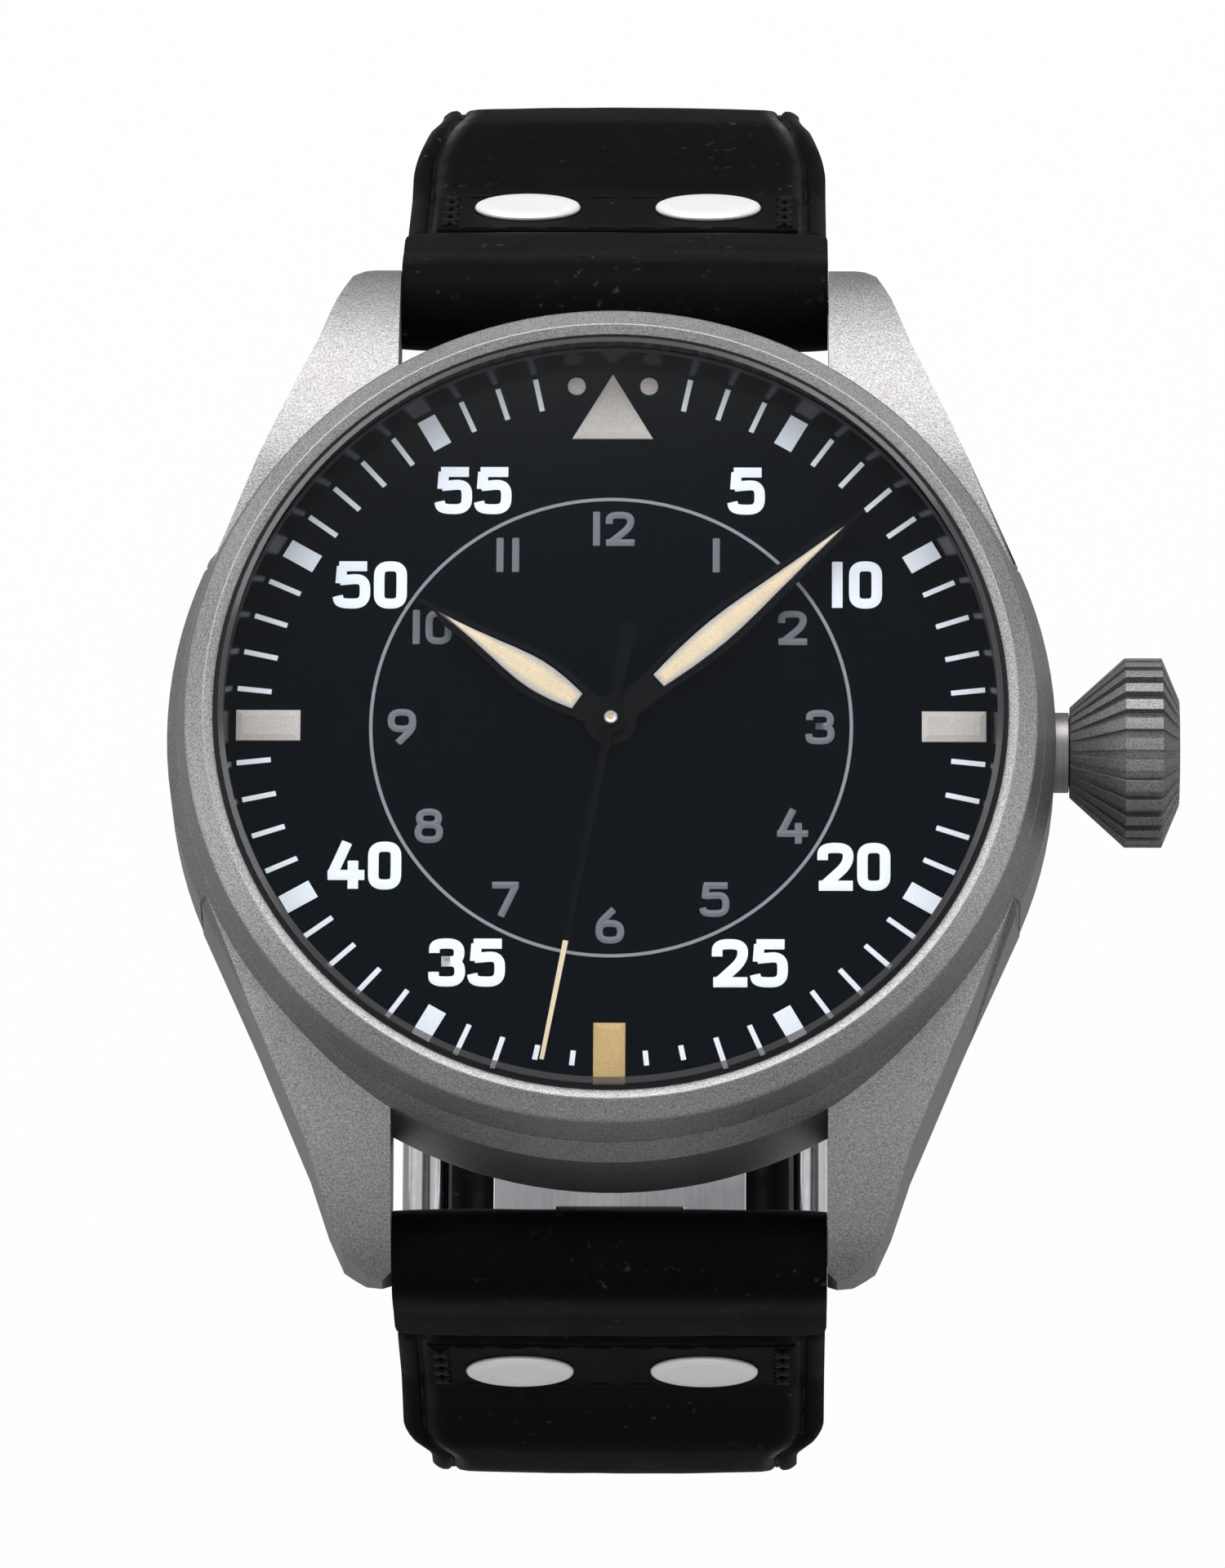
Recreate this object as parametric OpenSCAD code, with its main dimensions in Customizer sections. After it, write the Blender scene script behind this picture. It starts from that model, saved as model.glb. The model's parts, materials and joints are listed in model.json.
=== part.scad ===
// Automatic pilot watch on a leather strap, in millimetres.
// +Z is up through the dial, +Y is twelve o'clock, +X is the crown at three o'clock.
// The origin is the centre of the back window's outer face.

/* [Case] */
// Largest radius of the case middle
case_r = 21.5; // [21.2:0.1:22]
// Step from the case's largest radius in to the bezel's
shoulder_in = 0.55; // [0.4:0.05:0.7]
// Height of the bezel seat, level with the dial's face
seat_z = 9.4; // [9.2:0.1:9.8]
// Height of the lower edge of the widest band
flank_low = 3; // [2.8:0.1:3.4]
// Height of the upper edge of the widest band
flank_top = 7.9; // [7.6:0.1:8.2]
// Step from the case's largest radius in to the underside's chamfer
under_in = 2.6; // [2.4:0.05:2.8]
// Height of the case back's seat
under_z = 0.95; // [0.9:0.05:1]
// Width of the case back's seat, from the chamfer to the thread
thread_in = 1.55; // [1.5:0.01:1.6]
// Step from the thread in to the chamber that holds the movement
chamber_in = 0.75; // [0.55:0.05:0.85]
// Width of the bezel's seat, outside the spigot that centres the bezel
spigot_in = 1.25; // [1.2:0.05:1.35]
// Height of the spigot above the seat
spigot_h = 1; // [0.8:0.05:1.1]

/* [Lugs] */
// Reach of the lugs' tips beyond the case
lug_out = 4.4; // [4.2:0.1:4.8]
// Height of the lugs where they leave the case
lug_h = 8.8; // [8.4:0.1:9]
// Width of a lug at its root
lug_root_w = 9.3; // [9:0.1:9.5]
// Distance of the spring bars beyond the case
bar_out = 2.9; // [2.7:0.1:3]
// Height of the spring bars
bar_z = 1.7; // [1.7:0.1:2.2]
// Depth of the spring bar holes
bar_hole_deep = 1.6; // [1.4:0.1:1.8]

/* [Bezel and crystal] */
// Height of the bezel's flank
bezel_flank_h = 2.2; // [2:0.1:2.4]
// Height of the bezel's inner edge above the seat
bezel_h = 2.9; // [2.8:0.05:3]
// Step from the spigot in to the bore that takes the crystal
bore_in = 0.58; // [0.56:0.01:0.65]
// Thickness of the gasket between the bore and the crystal
crystal_gap = 0.22; // [0.17:0.01:0.4]
// Height of the crystal's vertical edge
crystal_edge_h = 1.3; // [1.1:0.05:1.5]
// Rise of the crystal's dome
dome_h = 1; // [0.8:0.1:1.4]
// Height of the dark flange ring around the dial
flange_h = 1.7; // [1.5:0.05:1.75]

/* [Case back] */
// Radius of the back window
window_r = 12; // [11.5:0.1:12.5]
// Thickness of the back window
window_t = 1; // [0.9:0.02:1]
// Step from the underside's chamfer in to the case back's flange
back_in = 0.5; // [0.3:0.05:0.7]
// Height of the case back's threaded wall
back_wall_top = 2.6; // [2.4:0.05:2.65]
// Number of notches for the case back key
back_notches = 6; // [4:1:12]

/* [Dial and hands] */
// Thickness of the dial
dial_t = 0.4; // [0.3:0.02:0.42]
// Step from the crystal's edge in to the dial that shows
view_in = 0.6; // [0.4:0.05:0.8]
// Width of the minute track
track_w = 1.65; // [1.45:0.1:1.85]
// Space between the minute track and the flange ring
track_gap = 0.15; // [0.05:0.05:0.3]
// Radius of the ring around the hour numerals
hour_ring_r = 11.6; // [11.4:0.1:11.8]
// Length of the hour hand
hour_len = 10.5; // [10:0.1:11]
// Length of the minute hand
minute_len = 16.3; // [15.8:0.1:16.6]
// Length of the seconds hand
seconds_len = 17.5; // [17:0.1:17.8]
// Hour hand's turn clockwise from twelve
hour_turn = 304; // [300:1:310]
// Minute hand's turn clockwise from twelve
minute_turn = 48.6; // [40:0.2:60]
// Seconds hand's turn clockwise from twelve
seconds_turn = 190.6; // [186:0.2:200]

/* [Crown] */
// Height of the crown's axis
crown_z = 5.5; // [5.4:0.05:5.6]
// Radius of the crown
crown_r = 4.6; // [4.3:0.1:4.8]
// Radius of the crown where its cone starts
crown_neck_r = 2.2; // [2.1:0.05:2.4]
// Space between the case and the crown's inner end
crown_gap = 0.7; // [0.65:0.05:0.9]
// Length of the crown's cone
crown_cone = 2.65; // [2.4:0.05:2.8]
// Length of the crown's cylinder
crown_band = 1.8; // [1.6:0.1:2]
// Length of the crown's end bevel
crown_bevel = 0.85; // [0.7:0.05:1]
// Number of ribs round the crown
crown_ribs = 28; // [22:1:32]
// Radius of the tube's collar
collar_r = 1.95; // [1.9:0.05:2.1]

/* [Movement] */
// Radius of the movement
move_r = 15; // [14.9:0.05:15.1]
// Height of the bridges' outer faces
bridge_z = 3.2; // [3.15:0.05:3.25]
// Thickness of the bridges
bridge_t = 1.4; // [1.3:0.05:1.45]
// Radius of the rotor
rotor_r = 14.5; // [14.2:0.05:14.55]
// Radius of the balance wheel
balance_r = 4.2; // [4:0.05:4.3]
// Distance from the centre to the balance
balance_d = 9.5; // [9.3:0.1:9.7]
// Direction of the balance
balance_turn = 228; // [220:1:236]
// Distance from the centre to the minute wheel
work_d = 3; // [2.9:0.05:3.2]

/* [Strap] */
// Step from a sleeve's side in to the strap's below the lugs
strap_in = 0.1; // [0.05:0.05:0.5]
// Width of the strap at the clasp
strap_end_w = 17.8; // [17:0.1:17.9]
// Thickness of the strap at the clasp
strap_t = 2.5; // [2.4:0.05:2.55]
// Height of the padding's outer face above the strap's middle
pad_h = 4.2; // [3.8:0.1:4.4]
// Width of the thick sleeves between the lugs
sleeve_w = 20.8; // [20.6:0.05:21]
// Space between a sleeve and the lug beside it
lug_clear = 0.1; // [0.05:0.05:0.3]
// Radius of the sleeves round the spring bars
sleeve_r = 2.3; // [2.2:0.05:2.35]
// Length of a sleeve from its spring bar
sleeve_len = 7.5; // [7:0.1:8]
// Radius of a rivet's head
rivet_r = 2.57; // [2.3:0.05:2.7]
// Distance between a pair of rivets
rivet_gap = 8.9; // [8.5:0.1:9.2]
// Distance from the spring bar to the rivets
rivet_s = 13; // [12.5:0.1:13.5]

/* [Clasp] */
// Outer width of the clasp's cover
cover_w = 22.5; // [22.2:0.1:22.8]
// Length of the clasp's cover
cover_len = 36.5; // [36:0.1:37]
// Width of the folding leaves
leaf_w = 13; // [12.5:0.1:13.5]
// Thickness of the folding leaves
leaf_t = 0.85; // [0.8:0.01:0.88]

/* [Hidden] */
$fn = 96;

// Overrun of every cut
cut = 0.5;
// Running clearance round pins and shafts
run = 0.04;

// Case radii and heights
shoulder_r = case_r - shoulder_in;
under_r = case_r - under_in;
thread_r = under_r - thread_in;
chamber_r = thread_r - chamber_in;
spigot_r = shoulder_r - spigot_in;
bezel_bore_r = spigot_r - bore_in;
crystal_r = bezel_bore_r - crystal_gap;
dial_view_r = crystal_r - view_in;
track_out_r = dial_view_r - track_gap;
track_in_r = track_out_r - track_w;
back_r = under_r - back_in;
lug_gap = sleeve_w + 2 * lug_clear;
lug_tip = case_r + lug_out;
bar_y = case_r + bar_out;
crown_in = case_r + crown_gap;
strap_w = sleeve_w - 2 * strap_in;
dial_bed = seat_z - dial_t;
spigot_in_r = spigot_r - 0.55 * spigot_h;
chamber_low = 2.7;
lug_clear_r = (under_r + spigot_in_r) / 2;
// Flat seals: half their width, and their height
seal_half = 0.17;
seal_t = 0.26;
bezel_seal_r = shoulder_r - 0.6 * spigot_in;
back_seal_r = back_r - 1.1 * back_in;

// Crown tube and stem
tube_r = 1.3;
tube_in_r = 0.9;
tube_out_r = 1.5;
tube_out_len = 3;
tube_inner_x = chamber_r + 1.2 * cut;
collar_len = 0.9;
stem_r = 0.5;
stem_in_x = 8.6;
pinion_r = 0.75;
pinion_w = 1.4;
crown_cavity_r = 1.8;
crown_end_t = 2;
rib_deep = 0.42;
rib_share = 0.56;
crown_out = crown_in + crown_cone + crown_band + crown_bevel;
crown_face_r = 0.56 * crown_r;

// Centre stack
seconds_arbor_r = 0.16;
cannon_in_r = seconds_arbor_r + run;
cannon_r = 0.5;
hour_pipe_in_r = cannon_r + run;
hour_pipe_r = 0.75;
dial_hole_r = 1;
hand_t = 0.15;
hour_hand_z = seat_z + 0.45;
minute_hand_z = hour_hand_z + 0.4;
seconds_hand_z = minute_hand_z + 0.42;
pipe_top_z = seconds_hand_z + 0.25;
work_floor_z = dial_bed - 1;
work_gap = 0.12;
wheel_t = 0.2;
cannon_t = 0.34;
work_turn = 35;

// Teeth of the motion work: cannon pinion, minute wheel and its pinion, hour wheel
cannon_teeth = 12;
minute_teeth = 36;
leaf_teeth = 10;
hour_teeth = 40;

// Gear modules, from the centre distance
first_module = 2 * work_d / (cannon_teeth + minute_teeth);
second_module = 2 * work_d / (leaf_teeth + hour_teeth);

// Movement
plate_z = bridge_z + bridge_t;
bridge_r = move_r - 0.2;
ring_gap = 0.05;
screw_r = 0.7;
screw_h = 0.3;
slot_w = 0.16;
rotor_z = 1.55;
rotor_plate_t = 0.3;
rotor_weight_t = 1.3;
rotor_weight_w = 2.9;
bearing_r = 0.9;
hub_r = 2.2;
hub_t = 1.1;
staff_r = 0.14;
balance_x = balance_d * cos(balance_turn);
balance_y = balance_d * sin(balance_turn);
balance_well_r = balance_r + 0.4;
balance_well_deep = 1;
balance_wheel_z = plate_z + 0.15;
balance_rim_w = 0.42;
balance_rim_t = 0.4;
cock_w = 2.4;
cock_reach = 6.1;
cock_t = 0.7;
foot_r = 1.3;
jewel_r = 0.55;
jewel_t = 0.5;
hairspring_turns = 7;
hairspring_w = 0.06;
hairspring_t = 0.2;
collet_r = 0.4;

// Spring bars
bar_r = 0.9;
bar_half = sleeve_w / 2;
tip_r = 0.44;
tip_in_x = 7.5;
tip_socket_x = 6;
tip_reach = bar_hole_deep - 0.1;

// Strap paths: angle, straight, bend, angle, straight, bend
upper_run = 20;
upper_bend_r = 45;
upper_low_run = 0.01;
upper_turn_r = 12.5;
lower_run = 22;
lower_bend_r = 38;
lower_low_run = 7.95;
lower_turn_r = 10;
upper_path = [57.5, upper_run, upper_bend_r, 80, upper_low_run, upper_turn_r];
lower_path = [91.7, lower_run, lower_bend_r, 110, lower_low_run, lower_turn_r];
strap_start = 3.2;
taper_top = -17;
taper_low = -24;
path_step = 2.6;
rivet_head_t = 0.55;
rivet_shank_r = 0.8;
rivet_back_r = 1.6;
tail_y = 16;
strap_hole_r = 0.9;
strap_hole_step = 6;

// Clasp levels, from the flat stretch of the lower strap
lower_end = path_point(path_length(lower_path), lower_path);
flat_y = -bar_y - lower_end[0];
flat_z = bar_z + lower_end[1];
strap_top_z = flat_z + strap_t / 2;
strap_low_z = flat_z - strap_t / 2;
clasp_gap = 0.25;
middle_z = strap_top_z + clasp_gap;
base_z = middle_z + leaf_t + clasp_gap;
cover_t = 1.15;
cover_z = strap_low_z - cover_t - ring_gap;
cover_y = flat_y - ring_gap;
rim_in = strap_end_w / 2 + 2 * ring_gap;
rim_top = strap_top_z + leaf_t;
rim_round = (cover_w / 2 - rim_in) / 2;
knuckle_r = leaf_t + clasp_gap / 2;
knuckle_y = flat_y - 0.5;
knuckle_z = middle_z + knuckle_r;
knuckle_half = leaf_w / 4;
leaf_pin_r = 0.4;
cover_pin_r = 0.5;
cover_pin_y = cover_y + cover_len - 1.6;
cover_pin_z = middle_z - cover_pin_r - 1.2 * clasp_gap;
lip_t = 0.8;
upper_tail = 2.5;
strap_bar_s = path_length(upper_path) - upper_tail;
strap_bar_at = path_point(strap_bar_s, upper_path);
strap_bar_y = bar_y + strap_bar_at[0];
strap_bar_z = bar_z + strap_bar_at[1];
strap_bar_r = 0.7;
ear_in = strap_end_w / 2 + 2 * ring_gap;
ear_t = 1.05;
ear_r = 1.45;
pusher_y = cover_y + cover_len * 0.42;
pusher_len = 5;
pusher_h = 1.5;
pusher_travel = 0.6;
pusher_out = cover_w / 2 + 0.65;
pusher_in = rim_in + pusher_travel + 2 * ring_gap;

// Length along a path up to the start of its last straight stretch
function path_length(k) =
    k[1] + k[2] * (k[3] - k[0]) * PI / 180 + k[4] + k[5] * (180 - k[3]) * PI / 180;

// Step from one angle to another round a bend of radius r
function bend(r, a, b) = [r * (sin(b) - sin(a)), r * (cos(b) - cos(a))];

// Step of length s at angle a
function run_on(s, a) = [s * cos(a), -s * sin(a)];

// Angle of the strap's outward normal from +Z at length s
function path_angle(s, k) =
    let (s1 = k[1], s2 = s1 + k[2] * (k[3] - k[0]) * PI / 180, s3 = s2 + k[4])
    s < s1 ? k[0] :
    s < s2 ? k[0] + (s - s1) / k[2] * 180 / PI :
    s < s3 ? k[3] :
    min(180, k[3] + (s - s3) / k[5] * 180 / PI);

// Place on a path at length s, measured outward and up from the spring bar
function path_point(s, k) =
    let (s1 = k[1], s2 = s1 + k[2] * (k[3] - k[0]) * PI / 180, s3 = s2 + k[4])
    let (s4 = s3 + k[5] * (180 - k[3]) * PI / 180, a = path_angle(s, k))
    s < s1 ? run_on(s, k[0]) :
    s < s2 ? run_on(s1, k[0]) + bend(k[2], k[0], a) :
    s < s3 ? run_on(s1, k[0]) + bend(k[2], k[0], k[3]) + run_on(s - s2, k[3]) :
    run_on(s1, k[0]) + bend(k[2], k[0], k[3]) + run_on(k[4], k[3]) + bend(k[5], k[3], a)
        + run_on(max(0, s - s4), 180);

// Place beside a path, d towards the outer face
function path_beside(s, d, k) =
    path_point(s, k) + d * [sin(path_angle(s, k)), cos(path_angle(s, k))];

// Outer padding along the strap: shares of the way to the clasp and of the padding's height
panel_share = 0.464;
pad_shares = [
    [0, 0.298], [0.16, 0.345], [0.2, panel_share], [0.3, panel_share], [0.35, 0.61],
    [0.42, 0.89], [0.5, 1], [0.6, 0.98], [0.75, 0.68], [0.92, 0.4], [1, 0.29], [2, 0.29]
];
function pad_out(s, k) = max(strap_t / 2, pad_h * lookup(s / path_length(k), pad_shares));

// Points of a lug: shares of its root width and of the tip's distance, then of its height
lug_plan_shares = [
    [0, 0.46], [0, 0.99], [0.05, 1], [0.13, 0.995], [0.25, 0.965], [0.33, 0.9],
    [0.43, 0.79], [0.7, 0.563], [1, 0.324], [0.4, 0.324]
];
lug_side_shares = [
    [0.31, 1], [0.54, 1], [0.61, 0.975], [0.676, 0.93], [0.735, 0.885], [0.79, 0.83],
    [0.842, 0.76], [0.888, 0.68], [0.928, 0.6], [0.957, 0.52], [0.98, 0.44], [0.992, 0.36],
    [1, 0.295], [1, 0.136], [0.992, 0.1], [0.977, 0.08], [0.81, 0.085], [0.695, 0.136],
    [0.54, 0.227], [0.31, 0.284]
];

// Half widths of a hand's lume along it: shares of its length and of its half width
hand_lume_shares = [
    [0.18, 0.6], [0.23, 0.74], [0.29, 0.88], [0.36, 0.98], [0.42, 1], [0.48, 0.95],
    [0.56, 0.8], [0.66, 0.56], [0.78, 0.3], [0.9, 0.08], [0.93, 0]
];

// Draws its children along +X, from a start to an end
module along_x(from, to) {
    translate([from, 0, 0]) rotate([90, 0, 90]) linear_extrude(to - from) children();
}

// Draws a side view of Y and Z across the whole width w
module across(w) {
    translate([-w / 2, 0, 0]) rotate([90, 0, 90]) linear_extrude(w) children();
}

// A rod along +X
module rod_x(r, from, to) {
    translate([from, 0, 0]) rotate([0, 90, 0]) cylinder(r = r, h = to - from);
}

// A flat ring
module ring(r_out, r_in, z, h) {
    translate([0, 0, z]) difference() {
        cylinder(r = r_out, h = h);
        translate([0, 0, -cut]) cylinder(r = r_in, h = h + 2 * cut);
    }
}

// A flat seal of radius r, or its groove
module seal(r, z, h) {
    ring(r + seal_half, r - seal_half, z, h);
}

// Sets a piece at a lug pair's spring bar, turned along the strap; side is 1 at twelve
module at_bar(side, angle) {
    mirror([0, side > 0 ? 0 : 1, 0]) translate([0, bar_y, bar_z]) rotate([-angle, 0, 0])
        children();
}

module lug() {
    intersection() {
        linear_extrude(lug_h) polygon([
            for (p = lug_plan_shares) [lug_gap / 2 + p[0] * lug_root_w, p[1] * lug_tip]
        ]);
        across(2 * case_r) polygon([
            for (p = lug_side_shares) [p[0] * lug_tip, p[1] * lug_h]
        ]);
    }
}

module case_middle() {
    color("darkgray") difference() {
        union() {
            rotate_extrude() polygon([
                [thread_r, under_z], [under_r, under_z],
                [(under_r + case_r) / 2 + 0.1 * case_r / 2, (under_z + flank_low) / 2],
                [case_r, flank_low], [case_r, flank_top], [shoulder_r, seat_z],
                [spigot_r, seat_z], [spigot_r, seat_z + spigot_h],
                [spigot_in_r, seat_z + spigot_h], [spigot_in_r, dial_bed],
                [chamber_r, dial_bed], [chamber_r, chamber_low], [thread_r, chamber_low]
            ]);
            for (sx = [0, 1], sy = [0, 1])
                mirror([sx, 0, 0]) mirror([0, sy, 0]) difference() {
                    lug();
                    translate([0, 0, -cut]) cylinder(r = lug_clear_r, h = lug_h + 2 * cut);
                }
        }
        // Spring bar holes
        for (side = [-1, 1]) translate([0, side * bar_y, bar_z])
            rod_x(tip_r + run, -lug_gap / 2 - bar_hole_deep, lug_gap / 2 + bar_hole_deep);
        // Crown tube
        translate([0, 0, crown_z]) {
            rod_x(tube_r, chamber_r - cut, case_r + cut);
            rod_x(collar_r, case_r - collar_len / 3, case_r + cut);
        }
        // Seal grooves
        seal(bezel_seal_r, seat_z - seal_t, seal_t + cut);
        seal(back_seal_r, under_z - cut, seal_t + cut);
    }
}

module crown_tube() {
    color("silver") translate([0, 0, crown_z]) difference() {
        union() {
            rod_x(tube_r, tube_inner_x, case_r);
            rod_x(collar_r, case_r - collar_len / 3, crown_in - ring_gap);
            rod_x(tube_out_r, case_r, crown_in + tube_out_len);
        }
        rod_x(tube_in_r, tube_inner_x - cut, crown_in + tube_out_len + cut);
    }
}

module bezel() {
    edge = 0.2;
    color("darkgray") rotate_extrude() polygon([
        [spigot_r + ring_gap, seat_z], [shoulder_r - edge / 2, seat_z],
        [shoulder_r, seat_z + edge / 2],
        [shoulder_r - 1.8 * edge, seat_z + bezel_flank_h - edge / 2],
        [shoulder_r - 2.2 * edge, seat_z + bezel_flank_h],
        [bezel_bore_r + 2.5 * edge, seat_z + bezel_h], [bezel_bore_r, seat_z + bezel_h - edge],
        [bezel_bore_r, seat_z + spigot_h + ring_gap],
        [spigot_r + ring_gap, seat_z + spigot_h + ring_gap]
    ]);
}

module bezel_gasket() {
    color("dimgray") seal(bezel_seal_r, seat_z - seal_t, seal_t);
}

module crystal() {
    foot_z = seat_z + flange_h;
    edge_z = foot_z + crystal_edge_h;
    bevel = 0.3;
    top_r = crystal_r - bevel;
    dome_steps = 12;
    inner_r = dial_view_r - bevel;
    inner_rise = dome_h * 0.9;
    color("azure", 0.35) rotate_extrude() polygon(concat(
        [[crystal_r, foot_z], [crystal_r, edge_z]],
        [for (i = [0 : dome_steps]) let (f = 1 - i / dome_steps)
            [top_r * f, edge_z + bevel / 2 + dome_h * (1 - f * f)]],
        [for (i = [0 : dome_steps]) let (f = i / dome_steps)
            [inner_r * f, foot_z + inner_rise * (1 - f * f)]]
    ));
}

module crystal_gasket() {
    color("dimgray") rotate_extrude() polygon([
        [crystal_r, seat_z + flange_h], [bezel_bore_r, seat_z + flange_h],
        [bezel_bore_r, seat_z + bezel_h - ring_gap * 5],
        [crystal_r, seat_z + bezel_h - ring_gap * 5]
    ]);
}

module flange_ring() {
    color([0.08, 0.08, 0.09]) rotate_extrude() polygon([
        [dial_view_r, seat_z], [spigot_in_r - ring_gap, seat_z],
        [spigot_in_r - ring_gap, seat_z + flange_h], [crystal_r - ring_gap * 2, seat_z + flange_h]
    ]);
}

module case_back() {
    proud = 0.08;
    wall_r = thread_r - ring_gap;
    lip = 0.4;
    notch_w = 1.8;
    notch_deep = 0.5;
    color("darkgray") difference() {
        rotate_extrude() polygon([
            [window_r, proud], [back_r - lip, proud], [back_r, proud + lip], [back_r, under_z],
            [wall_r, under_z], [wall_r, back_wall_top], [wall_r - 4 * lip, back_wall_top],
            [wall_r - 4 * lip, under_z + 0.7 * lip], [window_r - lip, under_z + 0.7 * lip],
            [window_r - lip, window_t], [window_r, window_t]
        ]);
        for (i = [0 : back_notches - 1]) rotate([0, 0, i * 360 / back_notches])
            translate([back_r - 2.2 * notch_w / 2, -notch_w / 2, -cut])
                cube([notch_w, notch_w, cut + notch_deep]);
    }
}

module back_gasket() {
    color("dimgray") seal(back_seal_r, under_z, seal_t);
}

module back_crystal() {
    edge = 0.1;
    color("azure", 0.35) rotate_extrude() polygon([
        [0, 0], [window_r - edge, 0], [window_r, edge], [window_r, window_t], [0, window_t]
    ]);
}

module dial() {
    color([0.1, 0.1, 0.12]) ring(spigot_in_r - ring_gap, dial_hole_r, dial_bed, dial_t);
}

// Minute ticks, hour bars and the ring round the hour numerals
module dial_print() {
    print_t = 0.03;
    tick_w = 0.25;
    bar_w = 0.95;
    line_w = 0.16;
    tick_len = track_out_r - track_in_r;
    color("white") {
        for (m = [2 : 58]) if (m % 15 != 0) rotate([0, 0, -6 * m])
            translate([0, m % 5 == 0 || abs(m - 30) > 2 ? track_in_r : track_in_r - ring_gap, seat_z])
                linear_extrude(print_t) translate([m % 5 == 0 ? -bar_w / 2 : -tick_w / 2, 0])
                    square([m % 5 == 0 ? bar_w : tick_w,
                        m % 5 == 0 || abs(m - 30) > 2 ? tick_len : tick_len * 0.45]);
        ring(hour_ring_r + line_w / 2, hour_ring_r - line_w / 2, seat_z, print_t);
    }
}

module lume_markers() {
    lume_t = 0.12;
    apex_r = 18;
    base_r = 14.7;
    triangle_w = 3.9;
    dot_r = 0.43;
    dot_x = 1.76;
    dot_y = 17.4;
    bar_in_r = 15;
    bar_out_r = 18.1;
    bar_w = 1.53;
    color("wheat") translate([0, 0, seat_z]) linear_extrude(lume_t) {
        polygon([[-triangle_w / 2, base_r], [triangle_w / 2, base_r], [0, apex_r]]);
        for (sx = [-1, 1]) translate([sx * dot_x, dot_y]) circle(r = dot_r, $fn = 32);
        for (turn = [90, 180, 270]) rotate(-turn) translate([-bar_w / 2, bar_in_r])
            square([bar_w, bar_out_r - bar_in_r]);
    }
}

// Half outline of a hand's lume, and the same grown by a rim
function hand_side(len, half, rim) = [
    for (p = hand_lume_shares) [half * p[1] + (p[1] > 0 ? rim : rim / 3), len * p[0]]
];
function both_sides(side) =
    concat(side, [for (i = [len(side) - 1 : -1 : 0]) [-side[i][0], side[i][1]]]);

// A hand pointing at +Y, with a slot for its lume
module hand(len, half, rim, hub_r, bore_r, z) {
    side = hand_side(len, half, rim);
    translate([0, 0, z]) linear_extrude(hand_t) difference() {
        union() {
            circle(r = hub_r);
            polygon(both_sides(concat([[side[0][0] * 0.8, 0]], side, [[rim / 3, len]])));
        }
        circle(r = bore_r);
        polygon(both_sides(hand_side(len, half, 0)));
    }
}

module hand_lume(len, half, z) {
    translate([0, 0, z]) linear_extrude(hand_t) polygon(both_sides(hand_side(len, half, 0)));
}

hour_half = 0.87;
minute_half = 0.75;
hand_rim = 0.28;
hand_hub_r = 1.25;

module hour_hand() {
    color([0.08, 0.08, 0.08]) rotate([0, 0, -hour_turn])
        hand(hour_len, hour_half, hand_rim, hand_hub_r, hour_pipe_r, hour_hand_z);
}

module hour_hand_lume() {
    color("wheat") rotate([0, 0, -hour_turn]) hand_lume(hour_len, hour_half, hour_hand_z);
}

module minute_hand() {
    color([0.08, 0.08, 0.08]) rotate([0, 0, -minute_turn])
        hand(minute_len, minute_half, hand_rim, hand_hub_r, cannon_r, minute_hand_z);
}

module minute_hand_lume() {
    color("wheat") rotate([0, 0, -minute_turn])
        hand_lume(minute_len, minute_half, minute_hand_z);
}

module seconds_hand() {
    tip_w = 0.2;
    root_w = 0.36;
    tail_len = 4.9;
    tail_w = 0.8;
    hub_r = 0.72;
    color([0.08, 0.08, 0.08]) rotate([0, 0, -seconds_turn]) translate([0, 0, seconds_hand_z])
        linear_extrude(hand_t * 0.7) difference() {
            union() {
                circle(r = hub_r, $fn = 48);
                polygon([[-root_w / 2, hub_r / 2], [-tip_w / 2, seconds_len],
                    [tip_w / 2, seconds_len], [root_w / 2, hub_r / 2]]);
                polygon([[-root_w / 2, -hub_r / 2], [-tail_w / 2, -tail_len],
                    [tail_w / 2, -tail_len], [root_w / 2, -hub_r / 2]]);
            }
            circle(r = seconds_arbor_r, $fn = 48);
        }
}

module seconds_arbor() {
    color("gold") translate([0, 0, work_floor_z - 2 * hand_t])
        cylinder(r = seconds_arbor_r, h = pipe_top_z - work_floor_z + 2 * hand_t, $fn = 48);
}

// Outline of a gear's teeth: one tooth is centred on +X
module teeth(count, module_mm) {
    pitch_r = count * module_mm / 2;
    root_r = pitch_r - 1.15 * module_mm;
    tip_r = pitch_r + 0.9 * module_mm;
    step = 360 / count;
    tooth_shares = [[-0.3, 0], [-0.22, 0.5], [-0.09, 1], [0.09, 1], [0.22, 0.5], [0.3, 0]];
    polygon([for (i = [0 : count - 1], p = tooth_shares)
        let (r = root_r + p[1] * (tip_r - root_r), a = (i + p[0]) * step)
        [r * cos(a), r * sin(a)]]);
}

module cannon_pinion() {
    color("gold") difference() {
        union() {
            translate([0, 0, work_floor_z + work_gap]) rotate([0, 0, work_turn])
                linear_extrude(cannon_t) teeth(cannon_teeth, first_module);
            translate([0, 0, work_floor_z + work_gap])
                cylinder(r = cannon_r, h = minute_hand_z + hand_t - work_floor_z - work_gap);
        }
        translate([0, 0, work_floor_z]) cylinder(r = cannon_in_r, h = pipe_top_z);
    }
}

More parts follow.
